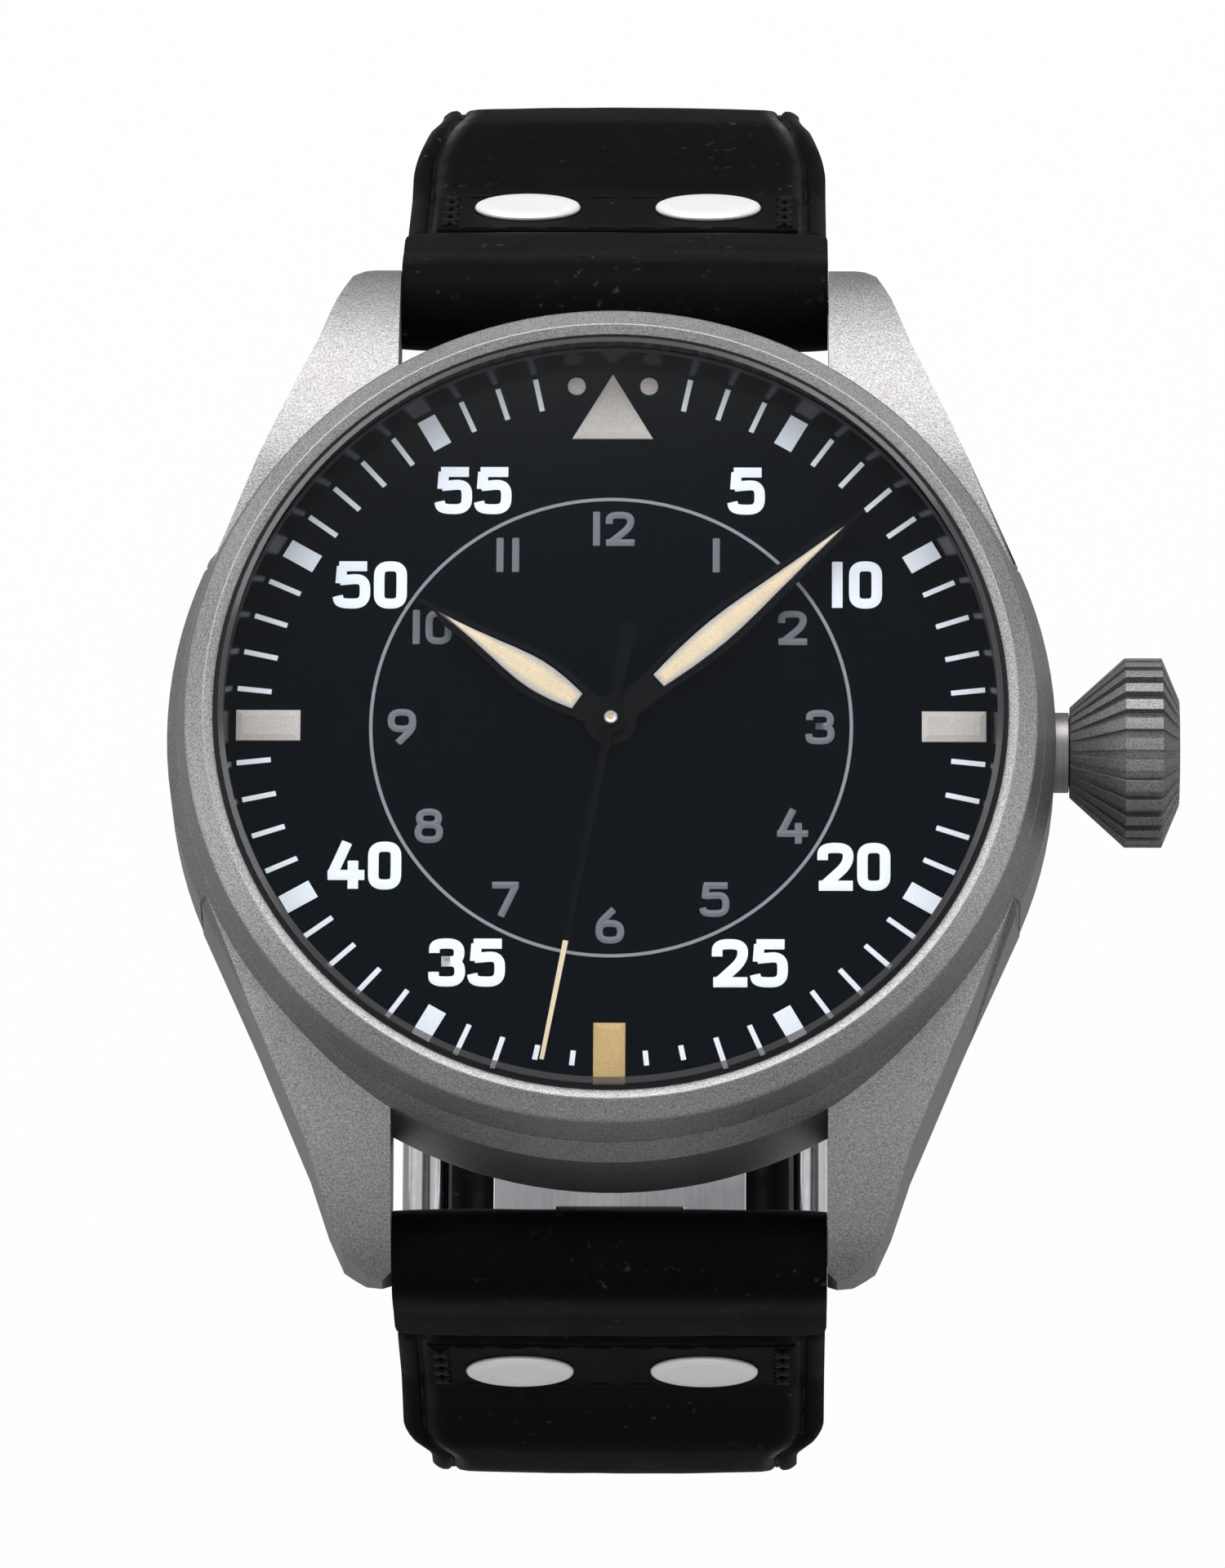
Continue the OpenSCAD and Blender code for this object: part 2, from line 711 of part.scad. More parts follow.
module minute_wheel() {
    post_r = 0.25;
    low_z = work_floor_z + work_gap + wheel_t / 4;
    color("gold") rotate([0, 0, work_turn]) translate([work_d, 0, low_z]) difference() {
        union() {
            rotate([0, 0, 180 / minute_teeth]) linear_extrude(wheel_t)
                teeth(minute_teeth, first_module);
            linear_extrude(wheel_t * 3) teeth(leaf_teeth, second_module);
        }
        translate([0, 0, -cut]) cylinder(r = post_r + run, h = dial_t + 2 * cut, $fn = 48);
    }
}

module hour_wheel() {
    low_z = work_floor_z + work_gap + cannon_t + wheel_t / 2;
    color("gold") difference() {
        union() {
            // Half a tooth on, to mesh with the pinion's tooth on the centre line
            rotate([0, 0, work_turn + 180 / hour_teeth]) translate([0, 0, low_z])
                linear_extrude(wheel_t) teeth(hour_teeth, second_module);
            translate([0, 0, low_z])
                cylinder(r = hour_pipe_r, h = hour_hand_z + hand_t - low_z);
        }
        translate([0, 0, work_floor_z]) cylinder(r = hour_pipe_in_r, h = pipe_top_z);
    }
}

module crown() {
    color("darkgray") translate([0, 0, crown_z]) difference() {
        union() {
            intersection() {
                crown_turned(0);
                along_x(crown_in - cut, crown_out + cut) polygon([
                    for (i = [0 : crown_ribs - 1], p = [[0, -1], [1, -1], [1, 1], [0, 1]])
                        let (a = (i + p[1] * rib_share / 2) * 360 / crown_ribs,
                            r = p[0] > 0 ? 2 * crown_r : crown_neck_r / 2)
                        [r * cos(a), r * sin(a)]
                ]);
            }
            crown_turned(rib_deep);
        }
        rod_x(crown_cavity_r, crown_in - cut, crown_out - crown_end_t);
    }
}

// The crown's turned outline, with its ribs taken down by a depth
module crown_turned(deep) {
    rotate([90, 0, 90]) rotate_extrude() polygon([
        [0, crown_in], [crown_neck_r - deep / 4, crown_in],
        [crown_r - deep, crown_in + crown_cone],
        [crown_r - deep, crown_in + crown_cone + crown_band],
        [crown_face_r - deep / 4, crown_out], [0, crown_out]
    ]);
}

module crown_gasket() {
    gasket_r = 0.12;
    color("dimgray") translate([crown_in + tube_out_len * 0.3, 0, crown_z]) rotate([0, 90, 0])
        rotate_extrude() translate([crown_cavity_r - gasket_r, 0]) circle(r = gasket_r, $fn = 24);
}

module winding_stem() {
    color("silver") translate([0, 0, crown_z])
        rod_x(stem_r, stem_in_x, crown_out - crown_end_t);
}

module pinion_x(from, teeth_n) {
    color("silver") translate([0, 0, crown_z]) difference() {
        along_x(from, from + pinion_w) teeth(teeth_n, 2 * pinion_r / (teeth_n + 2));
        rod_x(stem_r + run, from - cut, from + pinion_w + cut);
    }
}

module winding_pinion() {
    pinion_x(stem_in_x + 3.2 * pinion_w / 2, 14);
}

module sliding_pinion() {
    pinion_x(stem_in_x + pinion_w / 3, 14);
}

module movement_ring() {
    color("silver") difference() {
        ring(chamber_r - ring_gap, move_r + ring_gap, bridge_z, dial_bed - bridge_z - ring_gap);
        translate([0, 0, crown_z]) rod_x(tube_r + ring_gap, move_r - cut, chamber_r + cut);
        clamp_screws(0);
    }
}

module mainplate() {
    post_r = 0.25;
    plate_top = dial_bed - ring_gap;
    color("silver") {
        difference() {
            translate([0, 0, plate_z]) cylinder(r = move_r, h = plate_top - plate_z);
            // Well for the hour wheel, and one for the minute wheel
            translate([0, 0, work_floor_z]) cylinder(r = 0.97 * work_d, h = dial_t + 2 * cut);
            rotate([0, 0, work_turn]) translate([work_d, 0, work_floor_z - ring_gap])
                cylinder(r = 0.88 * work_d, h = dial_t + 2 * cut);
            translate([0, 0, work_floor_z - 3 * hand_t])
                cylinder(r = cannon_in_r, h = 2 * cut, $fn = 48);
            // Stem bore and the pocket round its pinions
            translate([0, 0, crown_z]) {
                rod_x(stem_r + run, stem_in_x - 3 * cut, move_r + cut);
                rod_x(pinion_r + run, stem_in_x, stem_in_x + 3.6 * pinion_w);
            }
            // Balance well with its lower pivot hole
            translate([balance_x, balance_y, plate_z - cut]) {
                cylinder(r = balance_well_r, h = cut + balance_well_deep);
                cylinder(r = staff_r + run, h = cut + 1.5 * balance_well_deep, $fn = 48);
            }
            bridge_screw_set(0);
            cock_screws(0);
        }
        rotate([0, 0, work_turn]) translate([work_d, 0, work_floor_z - hand_t])
            cylinder(r = post_r, h = 5.5 * hand_t, $fn = 48);
    }
}

// The balance bridge's bar and feet, grown by a gap
module cock_shape(gap, z, h) {
    translate([balance_x, balance_y, z]) rotate([0, 0, balance_turn + 90]) {
        translate([-cock_reach, -cock_w / 2 - gap, 0])
            cube([2 * cock_reach, cock_w + 2 * gap, h]);
        for (sx = [-1, 1]) translate([sx * cock_reach, 0, 0]) cylinder(r = foot_r + gap, h = h);
        cylinder(r = foot_r * 1.2 + gap, h = h);
    }
}

module balance_bridge() {
    color("gainsboro") difference() {
        union() {
            cock_shape(0, bridge_z, cock_t);
            translate([balance_x, balance_y, bridge_z]) rotate([0, 0, balance_turn + 90])
                for (sx = [-1, 1]) translate([sx * cock_reach, 0, 0])
                    cylinder(r = foot_r, h = bridge_t);
        }
        cock_screws(0);
        translate([balance_x, balance_y, bridge_z - cut])
            cylinder(r = jewel_r, h = cut + cock_t * 2, $fn = 48);
    }
}

// Half of the bridge disc, on one side of a line through the movement
module bridge_half(side) {
    split_y = 3.4;
    split_gap = 0.12;
    difference() {
        intersection() {
            translate([0, 0, bridge_z]) cylinder(r = bridge_r, h = bridge_t);
            rotate([0, 0, 18]) translate([-case_r, side > 0 ? split_y + split_gap : -case_r * 2
                + split_y - split_gap, 0]) cube([2 * case_r, 2 * case_r, plate_z + cut]);
        }
        translate([balance_x, balance_y, bridge_z - cut])
            cylinder(r = balance_well_r, h = bridge_t + 2 * cut);
        cock_shape(2 * split_gap, bridge_z - cut, bridge_t + 2 * cut);
        translate([0, 0, bridge_z - cut]) cylinder(r = bearing_r * 0.7, h = bridge_t, $fn = 64);
        bridge_screw_set(0);
        jewel_set(jewel_r, jewel_t, 0);
    }
}

module barrel_bridge() {
    color("gainsboro") bridge_half(1);
}

module train_bridge() {
    color("gainsboro") bridge_half(-1);
}

// Directions and distances of screws and jewels, as shares of the bridge's radius
screw_shares = [[40, 0.88], [95, 0.9], [150, 0.88], [330, 0.88], [285, 0.9], [185, 0.9]];
jewel_shares = [[262, 0.4], [300, 0.52], [200, 0.36], [340, 0.45], [60, 0.5], [120, 0.42]];

// A screw with a slotted head, its head sunk into the face at z
module screw(z, shank, slot) {
    translate([0, 0, z]) difference() {
        union() {
            cylinder(r = screw_r, h = screw_h, $fn = 48);
            cylinder(r = screw_r / 2, h = shank, $fn = 48);
        }
        if (slot > 0) translate([-screw_r - cut, -slot_w / 2, -cut])
            cube([2 * screw_r + 2 * cut, slot_w, cut + screw_h / 2]);
    }
}

module bridge_screw_set(slot) {
    for (p = screw_shares) rotate([0, 0, p[0]]) translate([p[1] * bridge_r, 0, 0])
        screw(bridge_z, bridge_t + screw_h * 3, slot);
}

module cock_screws(slot) {
    translate([balance_x, balance_y, 0]) rotate([0, 0, balance_turn + 90])
        for (sx = [-1, 1]) translate([sx * cock_reach, 0, 0])
            screw(bridge_z, bridge_t + screw_h * 3, slot);
}

module bridge_screws() {
    color("steelblue") {
        bridge_screw_set(1);
        cock_screws(1);
    }
}

module jewel_set(r, h, bore) {
    for (p = jewel_shares) rotate([0, 0, p[0]]) translate([p[1] * bridge_r, 0, bridge_z])
        difference() {
            cylinder(r = r, h = h, $fn = 48);
            if (bore > 0) translate([0, 0, -cut]) cylinder(r = bore, h = h / 2 + cut, $fn = 24);
        }
}

module bridge_jewels() {
    color("crimson") {
        jewel_set(jewel_r, jewel_t, staff_r);
        // The balance's upper jewel, bored from inside for the staff
        translate([balance_x, balance_y, bridge_z]) difference() {
            cylinder(r = jewel_r, h = cock_t, $fn = 48);
            translate([0, 0, cock_t / 3]) cylinder(r = staff_r + run, h = cock_t, $fn = 48);
        }
    }
}

module rotor_bearing() {
    head_t = 0.15;
    head_z = rotor_z - head_t - run;
    color("silver") difference() {
        union() {
            translate([0, 0, head_z + head_t])
                cylinder(r = bearing_r, h = bridge_z - head_z - head_t, $fn = 64);
            translate([0, 0, head_z]) cylinder(r = 1.5 * bearing_r, h = head_t, $fn = 64);
            translate([0, 0, rotor_z]) cylinder(r = bearing_r * 0.7, h = plate_z - rotor_z - cut, $fn = 64);
        }
        translate([-slot_w / 2, -case_r, head_z - cut])
            cube([slot_w, 2 * case_r, head_t / 2 + cut]);
    }
}

clamp_turn = 120;
clamp_t = 0.28;

module clamp_screws(slot) {
    clamp_r = (move_r + chamber_r) / 2;
    for (i = [0 : 2]) rotate([0, 0, 75 + i * clamp_turn]) translate([clamp_r, 0, 0])
        translate([0, 0, bridge_z - clamp_t - screw_h / 2]) difference() {
            union() {
                cylinder(r = screw_r * 0.9, h = screw_h / 2, $fn = 48);
                cylinder(r = screw_r / 2, h = clamp_t * 5, $fn = 48);
            }
            if (slot > 0) translate([-screw_r, -slot_w / 2, -cut])
                cube([2 * screw_r, slot_w, cut + screw_h / 4]);
        }
}

module casing_clamps() {
    clamp_angle = 14;
    color("silver") {
        for (i = [0 : 2]) rotate([0, 0, 75 + i * clamp_turn - clamp_angle / 2]) difference() {
            rotate_extrude(angle = clamp_angle) translate([rotor_r + 2 * ring_gap, bridge_z - clamp_t])
                square([chamber_r - rotor_r - 6 * ring_gap, clamp_t]);
            rotate([0, 0, clamp_angle / 2]) translate([(move_r + chamber_r) / 2, 0, 0])
                cylinder(r = screw_r / 2, h = plate_z, $fn = 48);
        }
        clamp_screws(1);
    }
}

// A ring sector of the rotor
module sector(r_in, r_out, z, h, from, to) {
    rotate([0, 0, from]) rotate_extrude(angle = to - from) translate([r_in, z])
        square([r_out - r_in, h]);
}

module rotor_plate() {
    web_r = rotor_r - rotor_weight_w;
    window_gap = 8;
    color("silver") {
        difference() {
            union() {
                sector(hub_r - cut, rotor_r - rotor_weight_w, rotor_z, rotor_plate_t, 180, 360);
                ring(hub_r, bearing_r + run, rotor_z, hub_t);
            }
            for (i = [0 : 2])
                sector(web_r * 0.42, web_r * 0.86, rotor_z - cut, rotor_plate_t + 2 * cut,
                    188 + i * (164 / 3 + 1), 188 + i * (164 / 3 + 1) + 164 / 3 - window_gap);
            translate([0, 0, rotor_z - cut])
                cylinder(r = bearing_r + run, h = hub_t + 2 * cut, $fn = 64);
        }
    }
}

module rotor_weight() {
    color("dimgray")
        sector(rotor_r - rotor_weight_w, rotor_r, rotor_z, rotor_weight_t, 180, 360);
}

module balance_wheel() {
    spoke_w = 0.4;
    roller_r = 0.75;
    color("gold") translate([balance_x, balance_y, 0]) {
        ring(balance_r, balance_r - balance_rim_w, balance_wheel_z, balance_rim_t);
        for (i = [0 : 2]) rotate([0, 0, 120 * i])
            translate([roller_r / 2, -spoke_w / 2, balance_wheel_z + balance_rim_t / 4])
                cube([balance_r - balance_rim_w / 2 - roller_r / 2, spoke_w, balance_rim_t / 2]);
        translate([0, 0, bridge_z + cock_t / 2])
            cylinder(r = staff_r, h = plate_z + 1.4 * balance_well_deep - bridge_z - cock_t / 2,
                $fn = 48);
        translate([0, 0, balance_wheel_z]) cylinder(r = roller_r, h = balance_rim_t * 1.5, $fn = 48);
    }
}

module hairspring() {
    steps = 20 * hairspring_turns;
    reach = balance_r * 0.6;
    spring_z = bridge_z + cock_t + 0.2;
    color("steelblue") translate([balance_x, balance_y, spring_z]) {
        linear_extrude(hairspring_t) polygon(concat(
            [for (i = [0 : steps]) spiral(i / steps, reach, 0)],
            [for (i = [steps : -1 : 0]) spiral(i / steps, reach, hairspring_w)]
        ));
        difference() {
            cylinder(r = collet_r, h = hairspring_t, $fn = 48);
            translate([0, 0, -cut]) cylinder(r = staff_r, h = hairspring_t + 2 * cut, $fn = 48);
        }
    }
}

// A place along the hairspring, from its collet to its outer end
function spiral(f, reach, out) =
    let (r = collet_r - hairspring_w / 2 + f * (reach - collet_r) + out,
        a = 360 * hairspring_turns * f)
    [r * cos(a), r * sin(a)];

module spring_bar(side) {
    color("silver") translate([0, side * bar_y, bar_z]) difference() {
        rod_x(bar_r, -bar_half, bar_half);
        for (sx = [0, 1]) mirror([sx, 0, 0]) rod_x(tip_r + run, tip_socket_x, bar_half + cut);
    }
}

module upper_spring_bar() { spring_bar(1); }
module lower_spring_bar() { spring_bar(-1); }

module bar_tip(side, hand_side_x) {
    color("silver") translate([0, side * bar_y, bar_z]) mirror([hand_side_x > 0 ? 0 : 1, 0, 0])
        rod_x(tip_r, tip_in_x, lug_gap / 2 + tip_reach);
}

module upper_left_tip() { bar_tip(1, -1); }
module upper_right_tip() { bar_tip(1, 1); }
module lower_left_tip() { bar_tip(-1, -1); }
module lower_right_tip() { bar_tip(-1, 1); }

// The strap's outline seen along Y
module strap_front(top, low, tail_w) {
    polygon([
        [-strap_w / 2, top], [strap_w / 2, top], [strap_w / 2, taper_top],
        [tail_w / 2, taper_low], [tail_w / 2, low], [-tail_w / 2, low],
        [-tail_w / 2, taper_low], [-strap_w / 2, taper_top]
    ]);
}

// A strap half: its side view drawn across, cut to its front outline
module strap_half(side, k, tail) {
    last = path_length(k) + tail;
    steps = ceil((last - strap_start) / path_step);
    marks = [for (i = [0 : steps]) strap_start + i * (last - strap_start) / steps];
    inner = strap_t / 2;
    mirror([0, side > 0 ? 0 : 1, 0]) intersection() {
        translate([0, bar_y, bar_z]) across(strap_w) polygon(concat(
            [for (s = marks) path_beside(s, pad_out(s, k), k)],
            [for (i = [len(marks) - 1 : -1 : 0]) path_beside(marks[i], -inner, k)]
        ));
        translate([0, 4 * case_r, 0]) rotate([90, 0, 0]) linear_extrude(8 * case_r)
            strap_front(bar_z, cover_z, strap_end_w);
    }
}

// Clears the leather for the rivets' shanks and backs
module rivet_holes() {
    for (sx = [-1, 1]) translate([sx * rivet_gap / 2, rivet_s, -pad_h])
        cylinder(r = rivet_shank_r, h = 2 * pad_h, $fn = 48);
}

module strap_upper() {
    color([0.1, 0.1, 0.1]) difference() {
        strap_half(1, upper_path, 0);
        at_bar(1, upper_path[0]) rivet_holes();
        translate([0, strap_bar_y, strap_bar_z]) rod_x(strap_bar_r, -strap_w, strap_w);
    }
}

module strap_lower() {
    color([0.1, 0.1, 0.1]) difference() {
        strap_half(-1, lower_path, tail_y - flat_y);
        at_bar(-1, lower_path[0]) rivet_holes();
        for (i = [0 : 2]) translate([0, flat_y + (i + 0.6) * strap_hole_step, cover_z])
            cylinder(r = strap_hole_r, h = strap_top_z - cover_z + cut, $fn = 48);
    }
}

// A thick leather sleeve that runs round the spring bar and holds the strap's end
module sleeve(side, angle) {
    corner = 1.6;
    inner = strap_t / 2 + 0.4;
    outer_r = sleeve_r;
    at_bar(side, angle) difference() {
        intersection() {
            union() {
                rod_x(outer_r, -sleeve_w / 2, sleeve_w / 2);
                across(sleeve_w) polygon([
                    [0, outer_r], [sleeve_len * 0.8, outer_r * 0.98],
                    [sleeve_len * 0.95, outer_r * 0.88], [sleeve_len, outer_r * 0.7],
                    [sleeve_len, -inner], [sleeve_len * 0.5, -inner], [0, -outer_r]
                ]);
            }
            translate([0, 0, -2 * outer_r]) linear_extrude(4 * outer_r) {
                translate([-sleeve_w / 2, -outer_r]) square([sleeve_w, outer_r + sleeve_len - corner]);
                translate([-sleeve_w / 2 + corner, 0]) square([sleeve_w - 2 * corner, sleeve_len]);
                for (sx = [-1, 1]) translate([sx * (sleeve_w / 2 - corner), sleeve_len - corner])
                    circle(r = corner, $fn = 48);
            }
        }
        rod_x(bar_r + run, -sleeve_w, sleeve_w);
        // Slot for the strap's end
        across(strap_w + 2 * ring_gap) polygon([
            [strap_start, -strap_t / 2], [sleeve_len + cut, -strap_t / 2],
            [sleeve_len + cut, pad_h * 0.359], [strap_start, pad_h * 0.331]
        ]);
    }
}

module upper_sleeve() { color([0.12, 0.12, 0.12]) sleeve(1, upper_path[0]); }
module lower_sleeve() { color([0.12, 0.12, 0.12]) sleeve(-1, lower_path[0]); }

// Two rivets with domed heads, shanks through the leather and washers behind
module rivets(side, angle) {
    face = pad_h * panel_share;
    color("silver") at_bar(side, angle) for (sx = [-1, 1])
        translate([sx * rivet_gap / 2, rivet_s, 0]) rotate_extrude($fn = 64) polygon([
            [0, -strap_t / 2 - rivet_head_t], [rivet_back_r, -strap_t / 2 - rivet_head_t / 2],
            [rivet_back_r, -strap_t / 2], [rivet_shank_r, -strap_t / 2], [rivet_shank_r, face],
            [rivet_r, face], [rivet_r, face + rivet_head_t * 0.6],
            [rivet_r - rivet_head_t * 0.4, face + rivet_head_t * 0.9],
            [rivet_r * 0.5, face + rivet_head_t], [0, face + rivet_head_t]
        ]);
}

module upper_rivets() { rivets(1, upper_path[0]); }
module lower_rivets() { rivets(-1, lower_path[0]); }

// Outer shell of the folding clasp: a channel for the strap between two round rims
module clasp_cover() {
    rim_y = cover_y + cover_len;
    edge = 0.25;
    color("silver") difference() {
        union() {
            translate([-cover_w / 2 + edge, cover_y, cover_z])
                cube([cover_w - 2 * edge, cover_len, cover_t]);
            for (sx = [0, 1]) mirror([sx, 0, 0]) {
                translate([rim_in, cover_y, cover_z])
                    cube([cover_w / 2 - rim_in - edge, cover_len, rim_top - rim_round - cover_z]);
                translate([rim_in, cover_y, cover_z + edge])
                    cube([cover_w / 2 - rim_in, cover_len, rim_top - rim_round - cover_z - edge]);
                translate([rim_in + rim_round, cover_y, rim_top - rim_round]) rotate([-90, 0, 0])
                    cylinder(r = rim_round, h = cover_len, $fn = 64);
            }
            // Peg that holds the strap by one of its holes
            translate([0, flat_y + 1.6 * strap_hole_step, cover_z + cover_t / 2])
                cylinder(r = strap_hole_r - ring_gap, h = strap_t * 0.8, $fn = 48);
        }
        translate([0, cover_pin_y, cover_pin_z])
            rod_x(cover_pin_r, -rim_in - rim_round, rim_in + rim_round);
        for (sx = [0, 1]) mirror([sx, 0, 0]) pusher_shape(ring_gap);
    }
}

module cover_pin() {
    color("silver") translate([0, cover_pin_y, cover_pin_z])
        rod_x(cover_pin_r, -rim_in - rim_round, rim_in + rim_round);
}

// A pusher's body and its hook, grown by a gap; the gap also clears its travel inwards
module pusher_shape(gap) {
    hook_len = pusher_len * 0.4;
    hook_t = 0.35;
    body_z = strap_top_z + 3 * ring_gap + hook_t - pusher_h;
    translate([pusher_in - (gap > 0 ? pusher_travel + 3 * gap : 0), pusher_y - pusher_len / 2 - gap,
        body_z - gap]) cube([pusher_out - pusher_in + (gap > 0 ? 2 * pusher_travel : 0),
            pusher_len + 2 * gap, pusher_h + 2 * gap]);
    translate([gap > 0 ? leaf_w / 2 : leaf_w / 2 + pusher_travel + 3 * ring_gap,
        pusher_y - hook_len / 2 - gap, body_z + pusher_h - hook_t - gap])
        cube([pusher_in - leaf_w / 2, hook_len + 2 * gap, hook_t + 2 * gap]);
}

module pusher_left() { color("silver") mirror([1, 0, 0]) pusher_shape(0); }
module pusher_right() { color("silver") pusher_shape(0); }

// Inner blade of the clasp, with the ears that hold the upper strap
module base_leaf() {
    clear = knuckle_r + 2 * ring_gap;
    cross_y = cover_y + cover_len + 3 * clasp_gap;
    ear_out = ear_in + ear_t;
    color("lightgray") {
        difference() {
            union() {
                translate([-leaf_w / 2, knuckle_y + clear, base_z])
                    cube([leaf_w, cross_y - knuckle_y - clear + cut, leaf_t]);
                for (sx = [0, 1]) mirror([sx, 0, 0]) {
                    translate([knuckle_half + ring_gap, knuckle_y, base_z])
                        cube([leaf_w / 2 - knuckle_half - ring_gap, clear + cut, leaf_t]);
                    translate([0, knuckle_y, knuckle_z])
                        rod_x(knuckle_r, knuckle_half + ring_gap, leaf_w / 2);
                }
            }
            translate([0, knuckle_y, knuckle_z]) rod_x(leaf_pin_r, -leaf_w, leaf_w);
        }
        translate([-ear_out, cross_y, base_z])
            cube([2 * ear_out, strap_bar_y + ear_r - cross_y, leaf_t]);
        difference() {
            for (sx = [0, 1]) mirror([sx, 0, 0]) {
                translate([ear_in, strap_bar_y - ear_r, strap_bar_z])
                    cube([ear_t, 2 * ear_r, base_z + leaf_t / 2 - strap_bar_z]);
                translate([0, strap_bar_y, strap_bar_z]) rod_x(ear_r, ear_in, ear_out);
            }
            translate([0, strap_bar_y, strap_bar_z]) rod_x(strap_bar_r, -ear_out - cut, ear_out + cut);
        }
    }
}

module strap_bar() {
    color("silver") translate([0, strap_bar_y, strap_bar_z])
        rod_x(strap_bar_r, -ear_in - ear_t, ear_in + ear_t);
}

module leaf_pin() {
    color("silver") translate([0, knuckle_y, knuckle_z]) rod_x(leaf_pin_r, -leaf_w / 2, leaf_w / 2);
}

// Middle blade: hinged on the base blade, its far end curled down behind the cover's pin
module middle_leaf() {
    clear = knuckle_r + 2 * ring_gap;
    lip_y = cover_pin_y + cover_pin_r + clasp_gap;
    color("lightgray") difference() {
        union() {
            translate([-leaf_w / 2, knuckle_y + clear, middle_z])
                cube([leaf_w, lip_y + lip_t - knuckle_y - clear, leaf_t]);
            translate([-knuckle_half + ring_gap, knuckle_y, middle_z])
                cube([2 * (knuckle_half - ring_gap), clear + cut, leaf_t]);
            translate([-leaf_w / 2, lip_y, cover_pin_z - cover_pin_r / 2])
                cube([leaf_w, lip_t, middle_z + leaf_t - cover_pin_z + cover_pin_r / 2]);
            translate([0, knuckle_y, knuckle_z])
                rod_x(knuckle_r, -knuckle_half + ring_gap, knuckle_half - ring_gap);
        }
        translate([0, knuckle_y, knuckle_z]) rod_x(leaf_pin_r + run, -leaf_w, leaf_w);
    }
}

case_middle();
crown_tube();
bezel();
bezel_gasket();
crystal();
crystal_gasket();
flange_ring();
case_back();
back_gasket();
back_crystal();
dial();
dial_print();
lume_markers();
movement_ring();
mainplate();
barrel_bridge();
train_bridge();
balance_bridge();
bridge_screws();
bridge_jewels();
rotor_bearing();
casing_clamps();
upper_spring_bar();
lower_spring_bar();
upper_left_tip();
upper_right_tip();
lower_left_tip();
lower_right_tip();
winding_pinion();
sliding_pinion();
crown();
crown_gasket();
winding_stem();
minute_hand();
minute_hand_lume();
cannon_pinion();
minute_wheel();
hour_hand();
hour_hand_lume();
hour_wheel();
seconds_hand();
seconds_arbor();
rotor_plate();
rotor_weight();
balance_wheel();
hairspring();
strap_upper();
upper_sleeve();
upper_rivets();
strap_lower();
lower_sleeve();
lower_rivets();
clasp_cover();
cover_pin();
base_leaf();
strap_bar();
leaf_pin();
middle_leaf();
pusher_left();
pusher_right();
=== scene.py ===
"""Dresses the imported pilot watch: finishes, detailed pieces, camera and lights."""

import json
import math

import bmesh
import bpy
from mathutils import Matrix, Vector, noise

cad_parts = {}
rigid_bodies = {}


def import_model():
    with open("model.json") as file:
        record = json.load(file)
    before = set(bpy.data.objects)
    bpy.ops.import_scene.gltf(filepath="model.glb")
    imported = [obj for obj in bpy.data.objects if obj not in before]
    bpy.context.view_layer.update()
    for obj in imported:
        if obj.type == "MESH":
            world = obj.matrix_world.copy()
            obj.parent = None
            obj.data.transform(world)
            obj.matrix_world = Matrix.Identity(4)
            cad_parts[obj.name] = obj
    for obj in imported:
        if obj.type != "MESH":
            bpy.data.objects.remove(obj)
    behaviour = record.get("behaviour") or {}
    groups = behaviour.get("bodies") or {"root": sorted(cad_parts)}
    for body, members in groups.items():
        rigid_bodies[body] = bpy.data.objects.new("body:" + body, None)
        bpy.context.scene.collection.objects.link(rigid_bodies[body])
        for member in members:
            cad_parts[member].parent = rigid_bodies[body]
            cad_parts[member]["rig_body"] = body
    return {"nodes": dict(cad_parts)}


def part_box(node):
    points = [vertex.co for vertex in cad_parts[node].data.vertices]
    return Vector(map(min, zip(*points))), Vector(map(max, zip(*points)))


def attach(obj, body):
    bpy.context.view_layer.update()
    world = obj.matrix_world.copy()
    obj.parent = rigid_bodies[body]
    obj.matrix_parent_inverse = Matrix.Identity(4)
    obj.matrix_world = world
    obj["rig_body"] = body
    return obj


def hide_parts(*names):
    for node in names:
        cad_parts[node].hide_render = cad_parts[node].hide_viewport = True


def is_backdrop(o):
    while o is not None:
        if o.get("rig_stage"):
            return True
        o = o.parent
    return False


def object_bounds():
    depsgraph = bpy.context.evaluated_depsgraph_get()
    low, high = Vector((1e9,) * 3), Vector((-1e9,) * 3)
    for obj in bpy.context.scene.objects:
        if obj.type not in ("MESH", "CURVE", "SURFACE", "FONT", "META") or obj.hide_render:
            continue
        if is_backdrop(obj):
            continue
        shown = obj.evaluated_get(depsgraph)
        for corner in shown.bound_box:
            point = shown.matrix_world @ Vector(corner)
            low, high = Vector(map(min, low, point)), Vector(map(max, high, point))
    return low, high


for leftover in list(bpy.data.objects):
    bpy.data.objects.remove(leftover)

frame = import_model()
cad_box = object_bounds()
nodes = frame["nodes"]
slot_of = {name: obj.material_slots[0].material.name for name, obj in nodes.items()}

MM = 0.001

# The dial, in millimetres
DIAL_Z = 9.4
MINUTE_NUMERALS = [
    ("5", 6.53, 12.05), ("10", 11.8, 7.25), ("20", 11.72, -7.08), ("25", 6.73, -11.95),
    ("35", -6.85, -11.95), ("40", -11.85, -7.07), ("50", -11.68, 7.2), ("55", -6.72, 12.05),
]
HOUR_NUMERAL_R = 10.1
HOUR_RING_REACH = 13.0
SECONDS_LUME_R = 11.45
LOW_MARKER_Y = 14
# How far the hands stand past twelve o'clock, in degrees
HOUR_TURN, MINUTE_TURN = 304, 48.6

